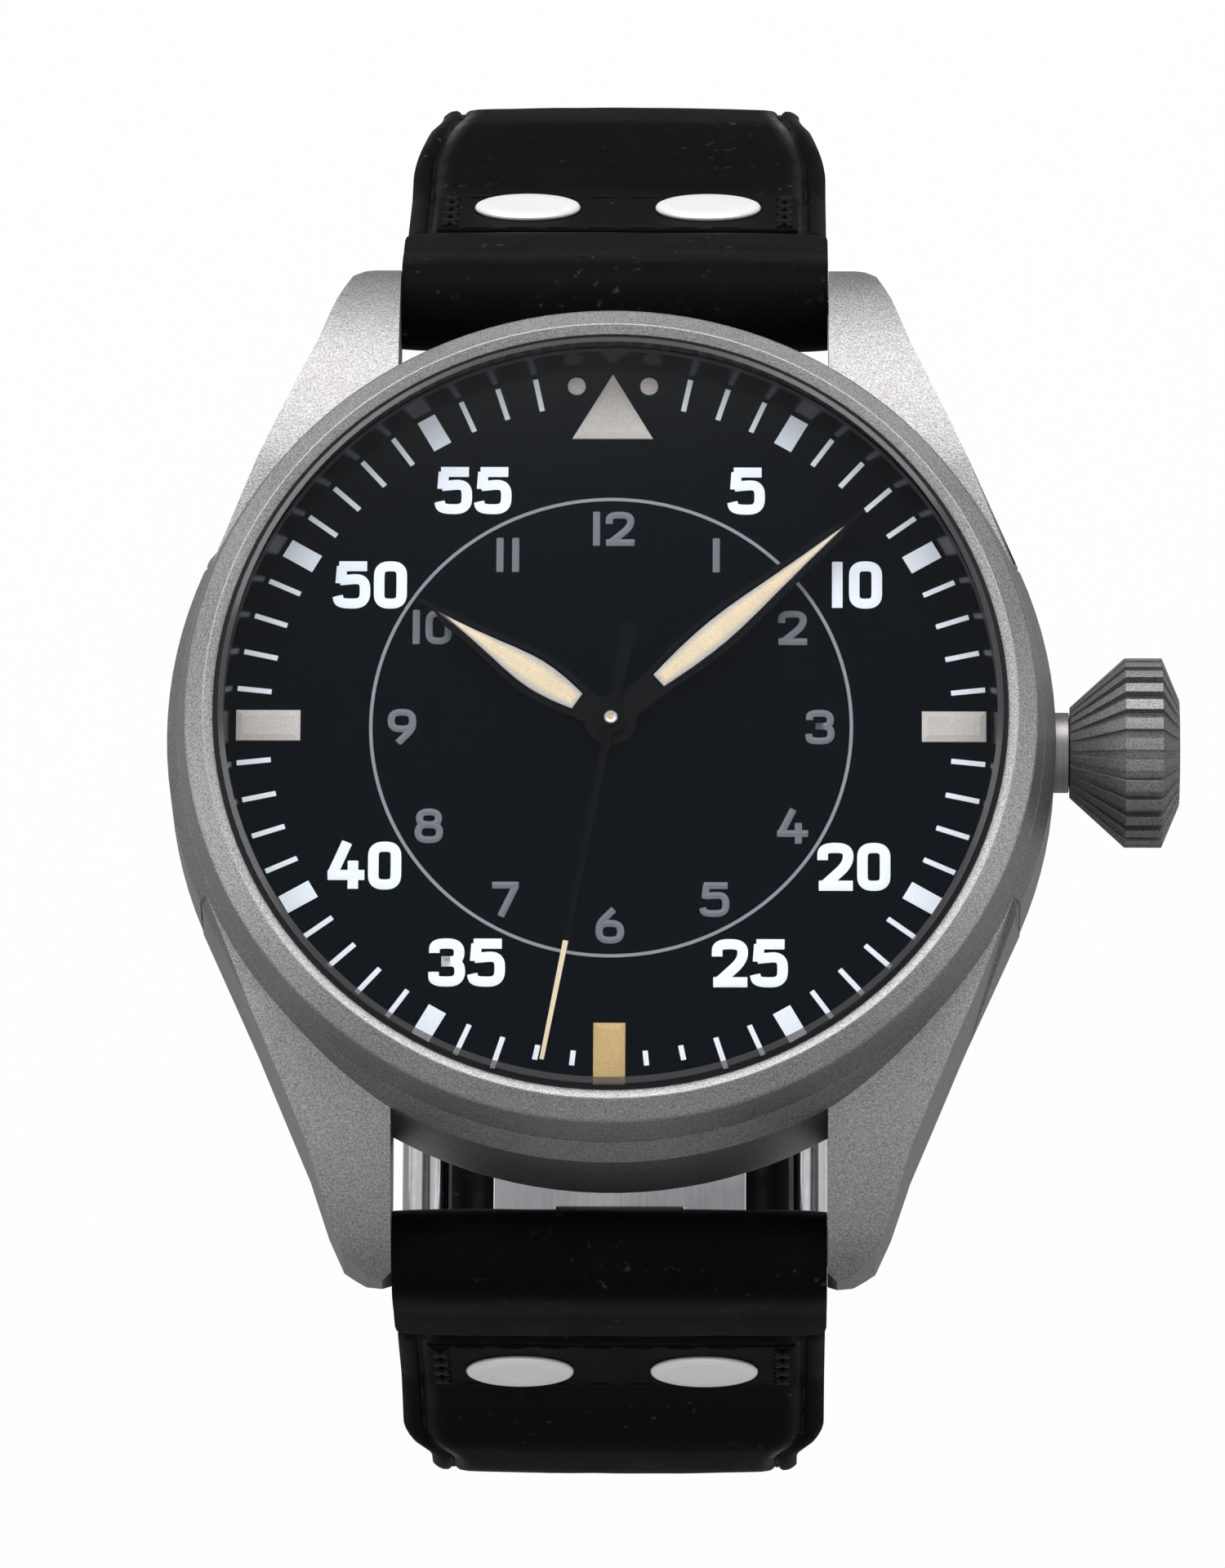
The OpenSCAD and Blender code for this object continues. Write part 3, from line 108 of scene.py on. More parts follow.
# The strap, in millimetres and degrees, as in the part's source
BAR_Y, BAR_Z = 24.4, 1.7
STRAP_START = 3.2
STRAP_T = 2.5
PAD_H = 4.2
STRAP_HALF_TOP, STRAP_HALF_LOW = 10.42, 9.1
SLEEVE_HALF, SLEEVE_R, SLEEVE_LEN = 10.48, 2.3, 7.5
RIVET_X, RIVET_S, RIVET_R = 4.52, 13.0, 2.63
# The padding's height: shares of the strap's length, and of PAD_H
PAD_SHARES = [
    (0, 0.298), (0.128, 0.335), (0.15, 0.464), (0.3, 0.464), (0.35, 0.61), (0.42, 0.89),
    (0.5, 1), (0.6, 0.98), (0.75, 0.68), (0.92, 0.4), (1, 0.29), (2, 0.29),
]
PANEL_FROM, PANEL_TO, PANEL_HALF, PANEL_SHARE = 8.6, 16.3, 9.0, 0.464


# Finishes

class Value:
    """A node's output. Arithmetic on it adds the Math nodes."""

    def __init__(self, finish, socket):
        self.finish = finish
        self.socket = socket

    def math(self, operation, a, b):
        """Adds a Math node on two sockets or numbers."""
        return self.finish.add("ShaderNodeMath", {"operation": operation}, {0: a, 1: b})

    def __add__(self, other):
        return self.math("ADD", self, other)

    __radd__ = __add__

    def __sub__(self, other):
        return self.math("SUBTRACT", self, other)

    def __rsub__(self, other):
        return self.math("SUBTRACT", other, self)

    def __mul__(self, other):
        return self.math("MULTIPLY", self, other)

    __rmul__ = __mul__

    def over(self, edge):
        """1 above an edge, 0 below it."""
        return self.math("GREATER_THAN", self, edge)

    def ramp(self, low, high):
        """0 up to low, 1 from high, smooth between them."""
        return self.finish.add(
            "ShaderNodeMapRange", {"interpolation_type": "SMOOTHSTEP"},
            {"Value": self, "From Min": low, "From Max": high},
        )


class Nodes:
    """The nodes of a material or of the world, added one by one."""

    def __init__(self, block):
        block.use_nodes = True
        self.tree = block.node_tree
        self.tree.nodes.clear()

    def add(self, kind, settings=None, inputs=None, out=0):
        """Adds a node: its settings first, then its sockets' values or links."""
        node = self.tree.nodes.new(kind)
        for name, value in (settings or {}).items():
            setattr(node, name, value)
        for name, value in (inputs or {}).items():
            if isinstance(value, Value):
                self.tree.links.new(value.socket, node.inputs[name])
            else:
                node.inputs[name].default_value = value
        return Value(self, node.outputs[out])

    def place(self, kind="Object"):
        """The place that is shaded, on the piece's own axes unless kind says otherwise."""
        return self.add("ShaderNodeTexCoord", out=kind)

    def end(self, shader, output="ShaderNodeOutputMaterial"):
        """Takes a shader as the whole look."""
        node = self.tree.nodes.new(output)
        self.tree.links.new(shader.socket, node.inputs["Surface"])
        return self


class Finish(Nodes):
    """A material, with the patterns that finishes are made of."""

    def __init__(self, name):
        self.material = bpy.data.materials.new(name)
        super().__init__(self.material)

    def mapped(self, per_mm, turn=0.0):
        """Places on the piece, in cycles per millimetre along each axis, turned about Z."""
        scale = [cycles / MM for cycles in per_mm]
        return self.add(
            "ShaderNodeMapping", {},
            {"Vector": self.place(), "Scale": scale, "Rotation": (0, 0, math.radians(turn))},
        )

    def noise(self, per_mm, detail=2.0):
        """Even noise, in cycles per millimetre."""
        return self.add(
            "ShaderNodeTexNoise", {},
            {"Vector": self.place(), "Scale": per_mm / MM, "Detail": detail},
        )

    def streaks(self, per_mm, detail, turn=0.0):
        """Noise drawn out along the axis with the fewest cycles per millimetre."""
        return self.add(
            "ShaderNodeTexNoise", {},
            {"Vector": self.mapped(per_mm, turn), "Scale": 1.0, "Detail": detail},
        )

    def radius(self, at=None):
        """Distance from the Z axis of the object or of a place."""
        flat = self.add(
            "ShaderNodeVectorMath", {"operation": "MULTIPLY"}, {0: at or self.place(), 1: (1, 1, 0)}
        )
        return self.add("ShaderNodeVectorMath", {"operation": "LENGTH"}, {0: flat}, out="Value")

    def rings(self, per_mm, at=None):
        """Uneven turning marks round the Z axis."""
        return self.add(
            "ShaderNodeTexNoise", {"noise_dimensions": "1D"},
            {"W": self.radius(at), "Scale": per_mm / MM, "Detail": 3.0},
        )

    def toned(self, colour, tone):
        """A colour made lighter or darker by a tone round 1."""
        return self.add(
            "ShaderNodeVectorMath", {"operation": "SCALE"}, {0: colour, "Scale": tone}
        )

    def mix(self, share, a, b):
        """Colour a where share is 0, colour b where it is 1."""
        return self.add(
            "ShaderNodeMix", {"data_type": "RGBA"}, {0: share, 6: solid(a), 7: solid(b)}, out=2
        )

    def bump(self, height, distance, strength):
        """Relief that is distance millimetres deep."""
        return self.add(
            "ShaderNodeBump", {},
            {"Height": height, "Distance": distance * MM, "Strength": strength},
            out="Normal",
        )

    def shine(self, **sockets):
        """Ends the finish in one Principled shader, with _ for the spaces in sockets' names."""
        named = {name.replace("_", " "): value for name, value in sockets.items()}
        named["Base Color"] = solid(named["Base Color"])
        return self.end(self.add("ShaderNodeBsdfPrincipled", {}, named))


def solid(colour):
    """A colour with its alpha, or a link as it is."""
    return colour if isinstance(colour, Value) else (*colour[:3], 1.0)


def blasted(name, colour, roughness=0.47):
    """Bead-blasted metal: fine round dents over a faint cloudy tone."""
    finish = Finish(name)
    grain = finish.noise(11, 3)
    cloud = finish.noise(0.16)
    tone = (grain - 0.5) * 1.9 + (cloud - 0.5) * 0.25 + 1.0
    return finish.shine(
        Base_Color=finish.toned(colour, tone), Metallic=1.0,
        Roughness=(cloud - 0.5) * 0.12 + roughness, Normal=finish.bump(grain, 0.026, 0.7),
    )


def brushed(name, colour, per_mm, roughness):
    """Metal with straight brush marks, so many per millimetre along each axis."""
    finish = Finish(name)
    marks = finish.streaks(per_mm, 4)
    cloud = finish.noise(0.22)
    return finish.shine(
        Base_Color=finish.toned(colour, (marks - 0.5) * 0.45 + (cloud - 0.5) * 0.2 + 1.0),
        Metallic=1.0, Roughness=(cloud - 0.5) * 0.15 + roughness,
        Normal=finish.bump(marks, 0.012, 0.7),
    )


def polished(name, colour, roughness=0.13):
    """Polished metal with faint wear."""
    finish = Finish(name)
    wear = finish.noise(0.9, 4)
    return finish.shine(
        Base_Color=finish.toned(colour, (wear - 0.5) * 0.1 + 1.0), Metallic=1.0,
        Roughness=(wear - 0.5) * 0.12 + roughness, Normal=finish.bump(wear, 0.004, 0.4),
    )


def turned_metal(name, colour, roughness, attribute=None, per_mm=9.0, metallic=1.0):
    """Metal faced on a lathe, round the dial's axis or the one of the attribute's places."""
    finish = Finish(name)
    at = None
    if attribute:
        at = finish.add("ShaderNodeAttribute", {"attribute_name": attribute}, out="Vector")
    rings = finish.rings(per_mm, at)
    cloud = finish.noise(0.4)
    return finish.shine(
        Base_Color=finish.toned(colour, (rings - 0.5) * 0.3 + (cloud - 0.5) * 0.1 + 1.0),
        Metallic=metallic, Roughness=(rings - 0.5) * 0.2 + roughness,
        Normal=finish.bump(rings, 0.01, 0.7),
    )


# The wave texture's pitch at a scale of 1
WAVE_PITCH = 0.314


def striped(name, colour, pitch, turn):
    """Plated bridges with broad polished stripes."""
    finish = Finish(name)
    across = finish.add(
        "ShaderNodeTexWave", {"wave_type": "BANDS", "bands_direction": "X"},
        {"Vector": finish.mapped((1, 1, 1), turn), "Scale": WAVE_PITCH / pitch,
         "Distortion": 0.0, "Detail": 0.0}, out="Fac",
    )
    marks = finish.streaks((0.3, 12, 0.3), 3, turn)
    return finish.shine(
        Base_Color=finish.toned(colour, across * 0.25 + (marks - 0.5) * 0.2 + 0.85),
        Metallic=1.0, Roughness=across * 0.12 + 0.2,
        Normal=finish.bump(across + marks * 0.06, 0.05, 0.6),
    )


# The coating lets through all but this share of what plain glass would mirror
COATED_SHARE = 0.13


def clear_glass(name, edge_r, edge_colour):
    """Coated sapphire: clear over the dial, dark and glossy at its rim."""
    finish = Finish(name)
    facing = finish.add("ShaderNodeFresnel", {}, {"IOR": 1.5}) * COATED_SHARE
    gloss = finish.add("ShaderNodeBsdfAnisotropic", {}, {"Color": (1, 1, 1, 1), "Roughness": 0.2})
    clear = finish.add("ShaderNodeBsdfTransparent", {}, {"Color": (0.97, 0.985, 1.0, 1)})
    rim = finish.add(
        "ShaderNodeBsdfPrincipled", {},
        {"Base Color": solid(edge_colour), "Roughness": 0.12, "Alpha": 0.8},
    )
    face = finish.add("ShaderNodeMixShader", {}, {0: facing, 1: clear, 2: gloss})
    at_rim = finish.radius().over(edge_r * MM)
    return finish.end(finish.add("ShaderNodeMixShader", {}, {0: at_rim, 1: face, 2: rim}))


# Lighter grey on the strap's edges: partly real wear, partly a painted sheen where the rolled
# border and the padding's shoulder catch the light
LEATHER_WEAR_AND_SHEEN = (0.13, 0.133, 0.14)


def leather(name, colour, sheen):
    """Calfskin: fine pores, soft creases, scuffs in patches, a low waxy gloss, and lighter edges
    that are partly wear and partly a painted sheen.
    """
    finish = Finish(name)
    pores = finish.add(
        "ShaderNodeTexVoronoi", {"feature": "SMOOTH_F1"},
        {"Vector": finish.place(), "Scale": 3.3 / MM},
    )
    grain = finish.noise(7, 4)
    creases = finish.streaks((0.42, 0.26, 0.26), 4)
    height = pores * 0.4 + grain * 0.35 + creases * 0.9
    # Lighter on the rubbed edges: partly wear, partly painted sheen
    wear_and_sheen = finish.add("ShaderNodeAttribute", {"attribute_name": "wear_and_sheen"}, out="Fac")
    scuffs = finish.noise(1.9, 5).ramp(0.62, 0.78) * finish.noise(0.19).ramp(0.4, 0.65)
    tone = (creases - 0.5) * 0.8 + (grain - 0.5) * 0.5 + 1.0
    return finish.shine(
        Base_Color=finish.toned(finish.mix(wear_and_sheen + scuffs * 0.3, colour, LEATHER_WEAR_AND_SHEEN), tone),
        Roughness=(creases - 0.5) * 0.2 + (grain - 0.5) * 0.12 + 0.5,
        Specular_IOR_Level=sheen, Normal=finish.bump(height, 0.03, 0.45),
    )


def lacquer(name, colour, roughness=0.55, gloss=0.12, grain_tone=0.3, grain_depth=0.006):
    """Matte paint with a very fine grain."""
    finish = Finish(name)
    grain = finish.noise(14)
    cloud = finish.noise(0.12)
    tone = (grain - 0.5) * grain_tone + (cloud - 0.5) * 0.2 + 1.0
    return finish.shine(
        Base_Color=finish.toned(colour, tone), Roughness=(grain - 0.5) * 0.1 + roughness,
        Specular_IOR_Level=gloss, Normal=finish.bump(grain, grain_depth, 0.3),
    )


def luminous(name, colour, low_colour=None, rim_colour=None):
    """Aged luminous paste, sandy, with another colour at six o'clock or at its rim."""
    finish = Finish(name)
    sand = finish.noise(9, 4)
    cloud = finish.noise(0.7, 3)
    base = colour
    if low_colour:
        y = finish.add("ShaderNodeSeparateXYZ", {}, {0: finish.place()}, "Y")
        base = finish.mix((0.0 - y).over(LOW_MARKER_Y * MM), colour, low_colour)
    if rim_colour:
        inside = finish.add("ShaderNodeAttribute", {"attribute_name": "inside"}, out="Fac")
        base = finish.mix(inside, rim_colour, colour)
    tone = (sand - 0.5) * 0.5 + (cloud - 0.5) * 0.25 + 1.0
    return finish.shine(
        Base_Color=finish.toned(base, tone), Roughness=0.75, Specular_IOR_Level=0.25,
        Normal=finish.bump(sand, 0.02, 0.6),
    )


def printed(name, track_colour, ring_colour):
    """Pad-printed paint: the minute track, and a greyer hour ring inside it."""
    finish = Finish(name)
    outer = finish.radius().over(HOUR_RING_REACH * MM)
    grain = finish.noise(9)
    return finish.shine(
        Base_Color=finish.toned(finish.mix(outer, ring_colour, track_colour),
                                (grain - 0.5) * 0.2 + 1.0),
        Roughness=0.6, Specular_IOR_Level=0.2, Normal=finish.bump(grain, 0.006, 0.3),
    )


def tipped_hand(name, colour, tip_colour):
    """The seconds hand: black, with luminous paint on its outer third."""
    finish = Finish(name)
    outer = finish.radius().over(SECONDS_LUME_R * MM)
    grain = finish.noise(9)
    return finish.shine(
        Base_Color=finish.toned(finish.mix(outer, colour, tip_colour), (grain - 0.5) * 0.3 + 1.0),
        Roughness=0.5, Specular_IOR_Level=0.04, Normal=finish.bump(grain, 0.005, 0.3),
    )


def synthetic_ruby(name, colour):
    """A clear red jewel, cloudy inside and glossy."""
    finish = Finish(name)
    cloud = finish.noise(1.5)
    return finish.shine(
        Base_Color=finish.toned(colour, cloud * 0.6 + 0.7),
        Roughness=(cloud - 0.5) * 0.05 + 0.08, Coat_Weight=0.6, Coat_Roughness=0.03,
    )


SAND = (0.60, 0.54, 0.49)
HAND_SAND = (0.80, 0.63, 0.42)
GOLDEN = (0.61, 0.405, 0.175)
INK_WHITE = (0.93, 0.95, 0.98)
INK_GREY = (0.175, 0.18, 0.19)

titanium = blasted("titanium_blasted", (0.325, 0.32, 0.328))
leather_black = leather("calfskin_black", (0.0032, 0.0034, 0.004), 0.014)
leather_rolled = leather("calfskin_rolled", (0.003, 0.0032, 0.0038), 0.018)
thread_black = lacquer("waxed_thread", (0.002, 0.002, 0.0022), 0.5, 0.08)
rivet_steel = turned_metal("rivet_faced", (0.88, 0.885, 0.9), 0.36, "turned_on", metallic=0.4)
ink_white = lacquer("ink_white", INK_WHITE, 0.6, 0.15, 0.12)
ink_grey = lacquer("ink_grey", INK_GREY, 0.6, 0.15, 0.12)
hand_sand = luminous("hand_lume", HAND_SAND, rim_colour=(0.40, 0.38, 0.38))
stripes = striped("bridge_stripes", (0.62, 0.61, 0.60), 2.4, 35)
finish_of_slot = {
    "blasted_titanium": titanium,
    "polished_steel": polished("steel_polished", (0.62, 0.62, 0.63)),
    "brushed_steel": brushed("steel_brushed", (0.48, 0.49, 0.50), (9, 0.26, 9), 0.28),
    "sapphire": clear_glass("sapphire_coated", 18.62, (0.05, 0.05, 0.055)),
    "black_rubber": lacquer("rubber_black", (0.012, 0.012, 0.012), 0.8, 0.3),
    "dial_black": lacquer("dial_lacquer", (0.001, 0.003, 0.0052), 0.7, 0.0, 0.5, 0.002),
    "print_white": printed("dial_ink", INK_WHITE, (0.28, 0.285, 0.295)),
    "aged_lume": luminous("marker_lume", SAND, GOLDEN),
    "hand_black": lacquer("hand_lacquer", (0.003, 0.003, 0.0035), 0.5, 0.05),
    "rhodium_plate": polished("rhodium_grained", (0.60, 0.59, 0.58), 0.3),
    "blued_steel": polished("steel_blued", (0.03, 0.07, 0.32), 0.18),
    "ruby": synthetic_ruby("ruby_polished", (0.55, 0.02, 0.07)),
    "gilt_brass": brushed("brass_gilt", (0.78, 0.55, 0.24), (7, 0.9, 7), 0.28),
    "heavy_metal": turned_metal("tungsten_turned", (0.33, 0.32, 0.31), 0.32),
    "black_leather": leather_black,
}
finish_of_node = {
    "seconds_hand": tipped_hand("seconds_paint", (0.002, 0.002, 0.0025), HAND_SAND),
    "minute_hand_lume": hand_sand,
    "hour_hand_lume": hand_sand,
    "flange_ring": lacquer("flange_lacquer", (0.004, 0.0045, 0.006), 0.2, 0.5),
    "crown": blasted("crown_blasted", (0.255, 0.248, 0.253), 0.56),
    # Brushed steel made lighter than the other leaves: painted light on the blade, which lies in
    # shade
    "base_leaf": brushed("blade_brushed_painted_light", (0.80, 0.81, 0.83), (9, 0.26, 9), 0.34),
    "crown_tube": brushed("collar_brushed", (0.25, 0.245, 0.24), (9, 0.3, 0.3), 0.4),
    "barrel_bridge": stripes,
    "train_bridge": stripes,
    "balance_bridge": stripes,
    "case_back": turned_metal("titanium_turned", (0.33, 0.32, 0.315), 0.36, per_mm=5.2),
    "rotor_plate": striped("rotor_stripes", (0.55, 0.54, 0.53), 2.0, 0),
}


def finish_for(node):
    """A node's own finish, or the one of its material slot."""
    return finish_of_node.get(node, finish_of_slot[slot_of[node]])


for name, obj in nodes.items():
    obj.material_slots[0].material = finish_for(name).material


# Making pieces

BEVEL_STEPS = 3
# Corners of a CAD mesh that lie this close are one, and so are faces that meet this flat
SAME_PLACE, SAME_FACE = 0.001, 0.4


def piece(name, bm, finish, body, slot, edge=0.0, smooth=32.0, wall=0.0, stands_for=()):
    """Turns a bmesh into a finished piece that rides on a body."""
    mesh = bpy.data.meshes.new(name)
    bm.to_mesh(mesh)
    bm.free()
    if "custom_normal" in mesh.attributes:
        mesh.attributes.remove(mesh.attributes["custom_normal"])
    mesh.materials.clear()
    mesh.materials.append(finish.material)
    mesh.shade_smooth()
    mesh.set_sharp_from_angle(angle=math.radians(smooth))
    obj = bpy.data.objects.new(name, mesh)
    bpy.context.scene.collection.objects.link(obj)
    if wall:
        shell = obj.modifiers.new("leather_thickness", "SOLIDIFY")
        shell.thickness = wall * MM
        shell.offset = -1.0
        shell.use_even_offset = True
    if edge:
        bevel = obj.modifiers.new("broken_edges", "BEVEL")
        bevel.width = edge * MM
        bevel.segments = BEVEL_STEPS
        bevel.limit_method = "ANGLE"
        bevel.angle_limit = math.radians(smooth)
        bevel.harden_normals = True
    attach(obj, body)
    if stands_for:
        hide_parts(*stands_for)
    return obj


def merged_copy(node):
    """A CAD node's mesh as whole flat faces."""
    bm = bmesh.new()
    bm.from_mesh(nodes[node].data)
    bmesh.ops.remove_doubles(bm, verts=bm.verts[:], dist=SAME_PLACE * MM)
    bmesh.ops.dissolve_limit(
        bm, angle_limit=math.radians(SAME_FACE), verts=bm.verts[:], edges=bm.edges[:]
    )
    return bm


# The case, in millimetres: its flank ends at FLANK_TOP, and the shoulder slopes in above it
CASE_R, FLANK_TOP, LUG_ROOT_Y, SHOULDER_SLOPE = 21.5, 7.9, 9.3, 0.367
# Lug corners this close are one
SLIVER = 0.012
# The hour hand is drawn out from this radius on, and so far at its tip
HOUR_TIP_FROM, HOUR_TIP_GAIN = 8.6, 0.75


def run_out_lugs(bm):
    """Draws the lugs' upper root corners in to the case's sloped shoulder."""
    for v in bm.verts:
        x, y, z = v.co / MM
        at_root = math.hypot(x, y) > CASE_R - 0.2 and abs(y) < LUG_ROOT_Y
        if at_root and z > FLANK_TOP + 0.1:
            shoulder_r = CASE_R - (z - FLANK_TOP) * SHOULDER_SLOPE
            v.co.x = math.copysign(math.sqrt(shoulder_r ** 2 - y ** 2), x) * MM
    bmesh.ops.remove_doubles(bm, verts=bm.verts[:], dist=SLIVER * MM)


def longer_tip(bm):
    """Draws the hour hand's tip out to the ring round the hour numerals."""
    reach = max(math.hypot(v.co.x, v.co.y) for v in bm.verts) / MM
    for v in bm.verts:
        r = math.hypot(v.co.x, v.co.y) / MM
        if r > HOUR_TIP_FROM:
            drawn = 1 + HOUR_TIP_GAIN * (r - HOUR_TIP_FROM) / (reach - HOUR_TIP_FROM) / r
            v.co.x *= drawn
            v.co.y *= drawn


RESHAPED = {"case_middle": run_out_lugs, "hour_hand": longer_tip}


def edged(node, edge):
    """Stands a copy with broken edges for a CAD node."""
    bm = merged_copy(node)
    RESHAPED.get(node, lambda _: None)(bm)
    return piece(
        node + "_edged", bm, finish_for(node), nodes[node]["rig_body"],
        slot_of[node], edge=edge, smooth=TURNED_SMOOTH.get(node, 32), stands_for=[node],
    )


def turned(profile, steps=96):
    """Spins an outline of radius and height, in millimetres, round the Z axis."""
    bm = bmesh.new()
    corners = [bm.verts.new((r * MM, 0, z * MM)) for r, z in profile]
    lines = [bm.edges.new(pair) for pair in zip(corners, corners[1:])]
    bmesh.ops.spin(
        bm, geom=corners + lines, cent=(0, 0, 0), axis=(0, 0, 1), angle=math.tau,
        steps=steps, use_merge=True,
    )
    bmesh.ops.remove_doubles(bm, verts=bm.verts[:], dist=0.0005 * MM)
    bmesh.ops.recalc_face_normals(bm, faces=bm.faces[:])
    return bm


def shaped_grid(columns, rows, at, closed_depth=False, wear=None):
    """A grid set by at(column, row, layer), closed by a second layer, and given each corner's share
    of wear and painted sheen by wear.
    """
    bm = bmesh.new()
    bmesh.ops.create_grid(bm, x_segments=columns - 1, y_segments=rows - 1, size=1)
    layer = bm.verts.layers.int.new("layer")
    if closed_depth:
        made = bmesh.ops.extrude_face_region(bm, geom=bm.faces[:])
        for item in made["geom"]:
            if isinstance(item, bmesh.types.BMVert):
                item[layer] = 1
    across = sorted({round(v.co.x, 5) for v in bm.verts})
    along = sorted({round(v.co.y, 5) for v in bm.verts})
    # Each corner's share of real wear and painted sheen, read by the leather finish
    wear_and_sheen = bm.verts.layers.float.new("wear_and_sheen")
    for v in bm.verts:
        column, row = across.index(round(v.co.x, 5)), along.index(round(v.co.y, 5))
        v.co = at(column, row, v[layer])
        v[wear_and_sheen] = wear(column, row) if wear else 0.0
    bmesh.ops.recalc_face_normals(bm, faces=bm.faces[:])
    return bm


# The strap's shape

# Along the strap, in shares of its length: where the raised part starts, is full, ends, is gone
LIFT_SHARES = (0.12, 0.15, 0.35, 0.6)
# The folded border: its seam's place, the padding's shoulder inside it, and its drop below it
GROOVE, SHOULDER, BORDER_DROP = 1.0, 0.85, 0.18
GROOVE_DEPTH, GROOVE_HALF = 0.26, 0.17
ROLL_DEPTH, ROLL_REACH, ROLL_POWER = 0.32, 0.7, 2.4
CROWN_SHARE, WAVE_DEPTH = 0.04, 0.05
# How much narrower the strap is under its sleeve, and between the clasp's pushers
SLEEVE_ROOM, PUSHER_ROOM = 0.3, 0.4
TAPER_SPREAD = 0.08


def smooth_step(low, high, value):
    """0 up to low, 1 from high, smooth between them."""
    share = min(1.0, max(0.0, (value - low) / (high - low)))
    return share * share * (3 - 2 * share)


def between(stops, value):
    """Straight-line value between stops of (place, value)."""
    for (a, va), (b, vb) in zip(stops, stops[1:]):
        if value <= b:
            return va + (vb - va) * max(0.0, value - a) / (b - a)
    return stops[-1][1]


class Strap:
    """A strap half's middle line, from its spring bar down to the clasp.

    It leaves the bar at angle degrees below level and runs straight for first. It bends at the
    radius bend until it is turned_to, runs straight for second, and bends at the radius last_bend
    until it lies flat under the wrist, where it runs on for tail. taper holds the heights where
    it starts and ends to narrow, fullness swells the padding and lift raises its upper part.
    """

    def __init__(self, side, angle, first, bend, turned_to, second, last_bend, tail,
                 taper, fullness, lift):
        self.side = side
        self.angle = angle
        self.taper_top, self.taper_low = taper
        self.fullness = fullness
        self.lift = lift
        self.legs = [
            (first, 0), (bend * math.radians(turned_to - angle), turned_to - angle),
            (second, 0), (last_bend * math.radians(180 - turned_to), 180 - turned_to),
        ]
        self.path_length = sum(length for length, _ in self.legs)
        self.end = self.path_length + tail

    def at(self, s):
        """Place outward and up from the spring bar, and the strap's angle there."""
        place, angle = Vector((0, 0)), math.radians(self.angle)
        for length, turn in self.legs:
            step = min(s, length)
            if turn:
                bend = length / math.radians(turn)
                after = angle + step / bend
                place += bend * Vector((
                    math.sin(after) - math.sin(angle), math.cos(after) - math.cos(angle)
                ))
                angle = after
            else:
                place += step * Vector((math.cos(angle), -math.sin(angle)))
            s -= step
            if s <= 0:
                return place, angle
        return place + Vector((-s, 0)), angle

    def matrix(self, x, s, d):
        """Axes on the strap: across it, along it and out of its face."""
        place, angle = self.at(s)
        along = Vector((0, self.side * math.cos(angle), -math.sin(angle)))
        out = Vector((0, self.side * math.sin(angle), math.cos(angle)))
        centre = Vector((x, self.side * (BAR_Y + place.x), BAR_Z + place.y)) + d * out
        rows = Matrix((Vector((self.side, 0, 0)), along, out)).transposed().to_4x4()
        return Matrix.Translation(centre * MM) @ rows

    def point(self, x, s, d):
        """A place in metres: x across the strap, s along it and d out of its middle line."""
        return self.matrix(x, s, d).translation

    def half_width(self, s):
        """Full at the lugs, narrow at the clasp."""
        z = BAR_Z + self.at(s)[0].y
        share = (z - self.taper_low) / (self.taper_top - self.taper_low)
        tucked = SLEEVE_ROOM * (1 - smooth_step(SLEEVE_LEN - 0.5, SLEEVE_LEN + 1, s))
        tucked += PUSHER_ROOM * smooth_step(self.path_length - 6, self.path_length - 2, s)
        reach = smooth_step(-TAPER_SPREAD, 1 + TAPER_SPREAD, share)
        return STRAP_HALF_LOW + (STRAP_HALF_TOP - STRAP_HALF_LOW) * reach - tucked

    def pad(self, s):
        """Height of the padding's middle over the strap's middle line."""
        place = s / self.path_length
        share = between(PAD_SHARES, place)
        full = PAD_H * (share + self.fullness * max(0.0, share - PANEL_SHARE))
        start, risen, falling, gone = LIFT_SHARES
        raised = smooth_step(start, risen, place) * (1 - smooth_step(falling, gone, place))
        return max(STRAP_T / 2, full + self.lift * raised)

    def face(self, x, s):
        """Height of the outer face: a thick folded border, a sewn groove and the padding."""
        pad, half = self.pad(s), self.half_width(s)
        inset = half - abs(x)
        border = pad - BORDER_DROP * min(1.0, (pad - STRAP_T / 2) / BORDER_DROP / 2)
        rise = smooth_step(GROOVE + 0.1, GROOVE + SHOULDER, inset)
        crowned = pad * (1 - CROWN_SHARE * (x / half) ** 2)
        rolled = ROLL_DEPTH * (1 - min(1.0, inset / ROLL_REACH)) ** ROLL_POWER
        groove = GROOVE_DEPTH * math.exp(-(((inset - GROOVE) / GROOVE_HALF) ** 2))
        groove *= smooth_step(6, 8, s)
        waves = WAVE_DEPTH * noise.noise(Vector((x * 0.35, s * 0.3, self.side * 5)))
        return border + (crowned - border) * rise - groove - rolled + waves * rise


upper = Strap(
    side=1, angle=57.5, first=20, bend=45, turned_to=80, second=0.01, last_bend=12.5, tail=0,
    taper=(-15.8, -22.4), fullness=0.25, lift=0,
)
lower = Strap(
    side=-1, angle=91.7, first=22, bend=38, turned_to=110, second=7.95, last_bend=10, tail=25.36,
    taper=(-19.6, -23.6), fullness=0, lift=0.28,
)
# The columns of a strap's mesh, measured in from its border
INSETS = [0, 0.1, 0.25, 0.45, 0.7, 0.84, 0.93, 1.0, 1.07, 1.16, 1.3, 1.5, 1.75, 2.1, 2.7, 3.6]
MIDDLE_COLUMNS = 9
ROW_STEP = 0.55


def strap_columns(half):
    """Places across the strap, close together at its borders."""
    edge = [-half + inset for inset in INSETS]
    inner = edge[-1]
    middle = [inner * (1 - 2 * i / (MIDDLE_COLUMNS + 1)) for i in range(1, MIDDLE_COLUMNS + 1)]
    return edge + middle + [-x for x in reversed(edge)]


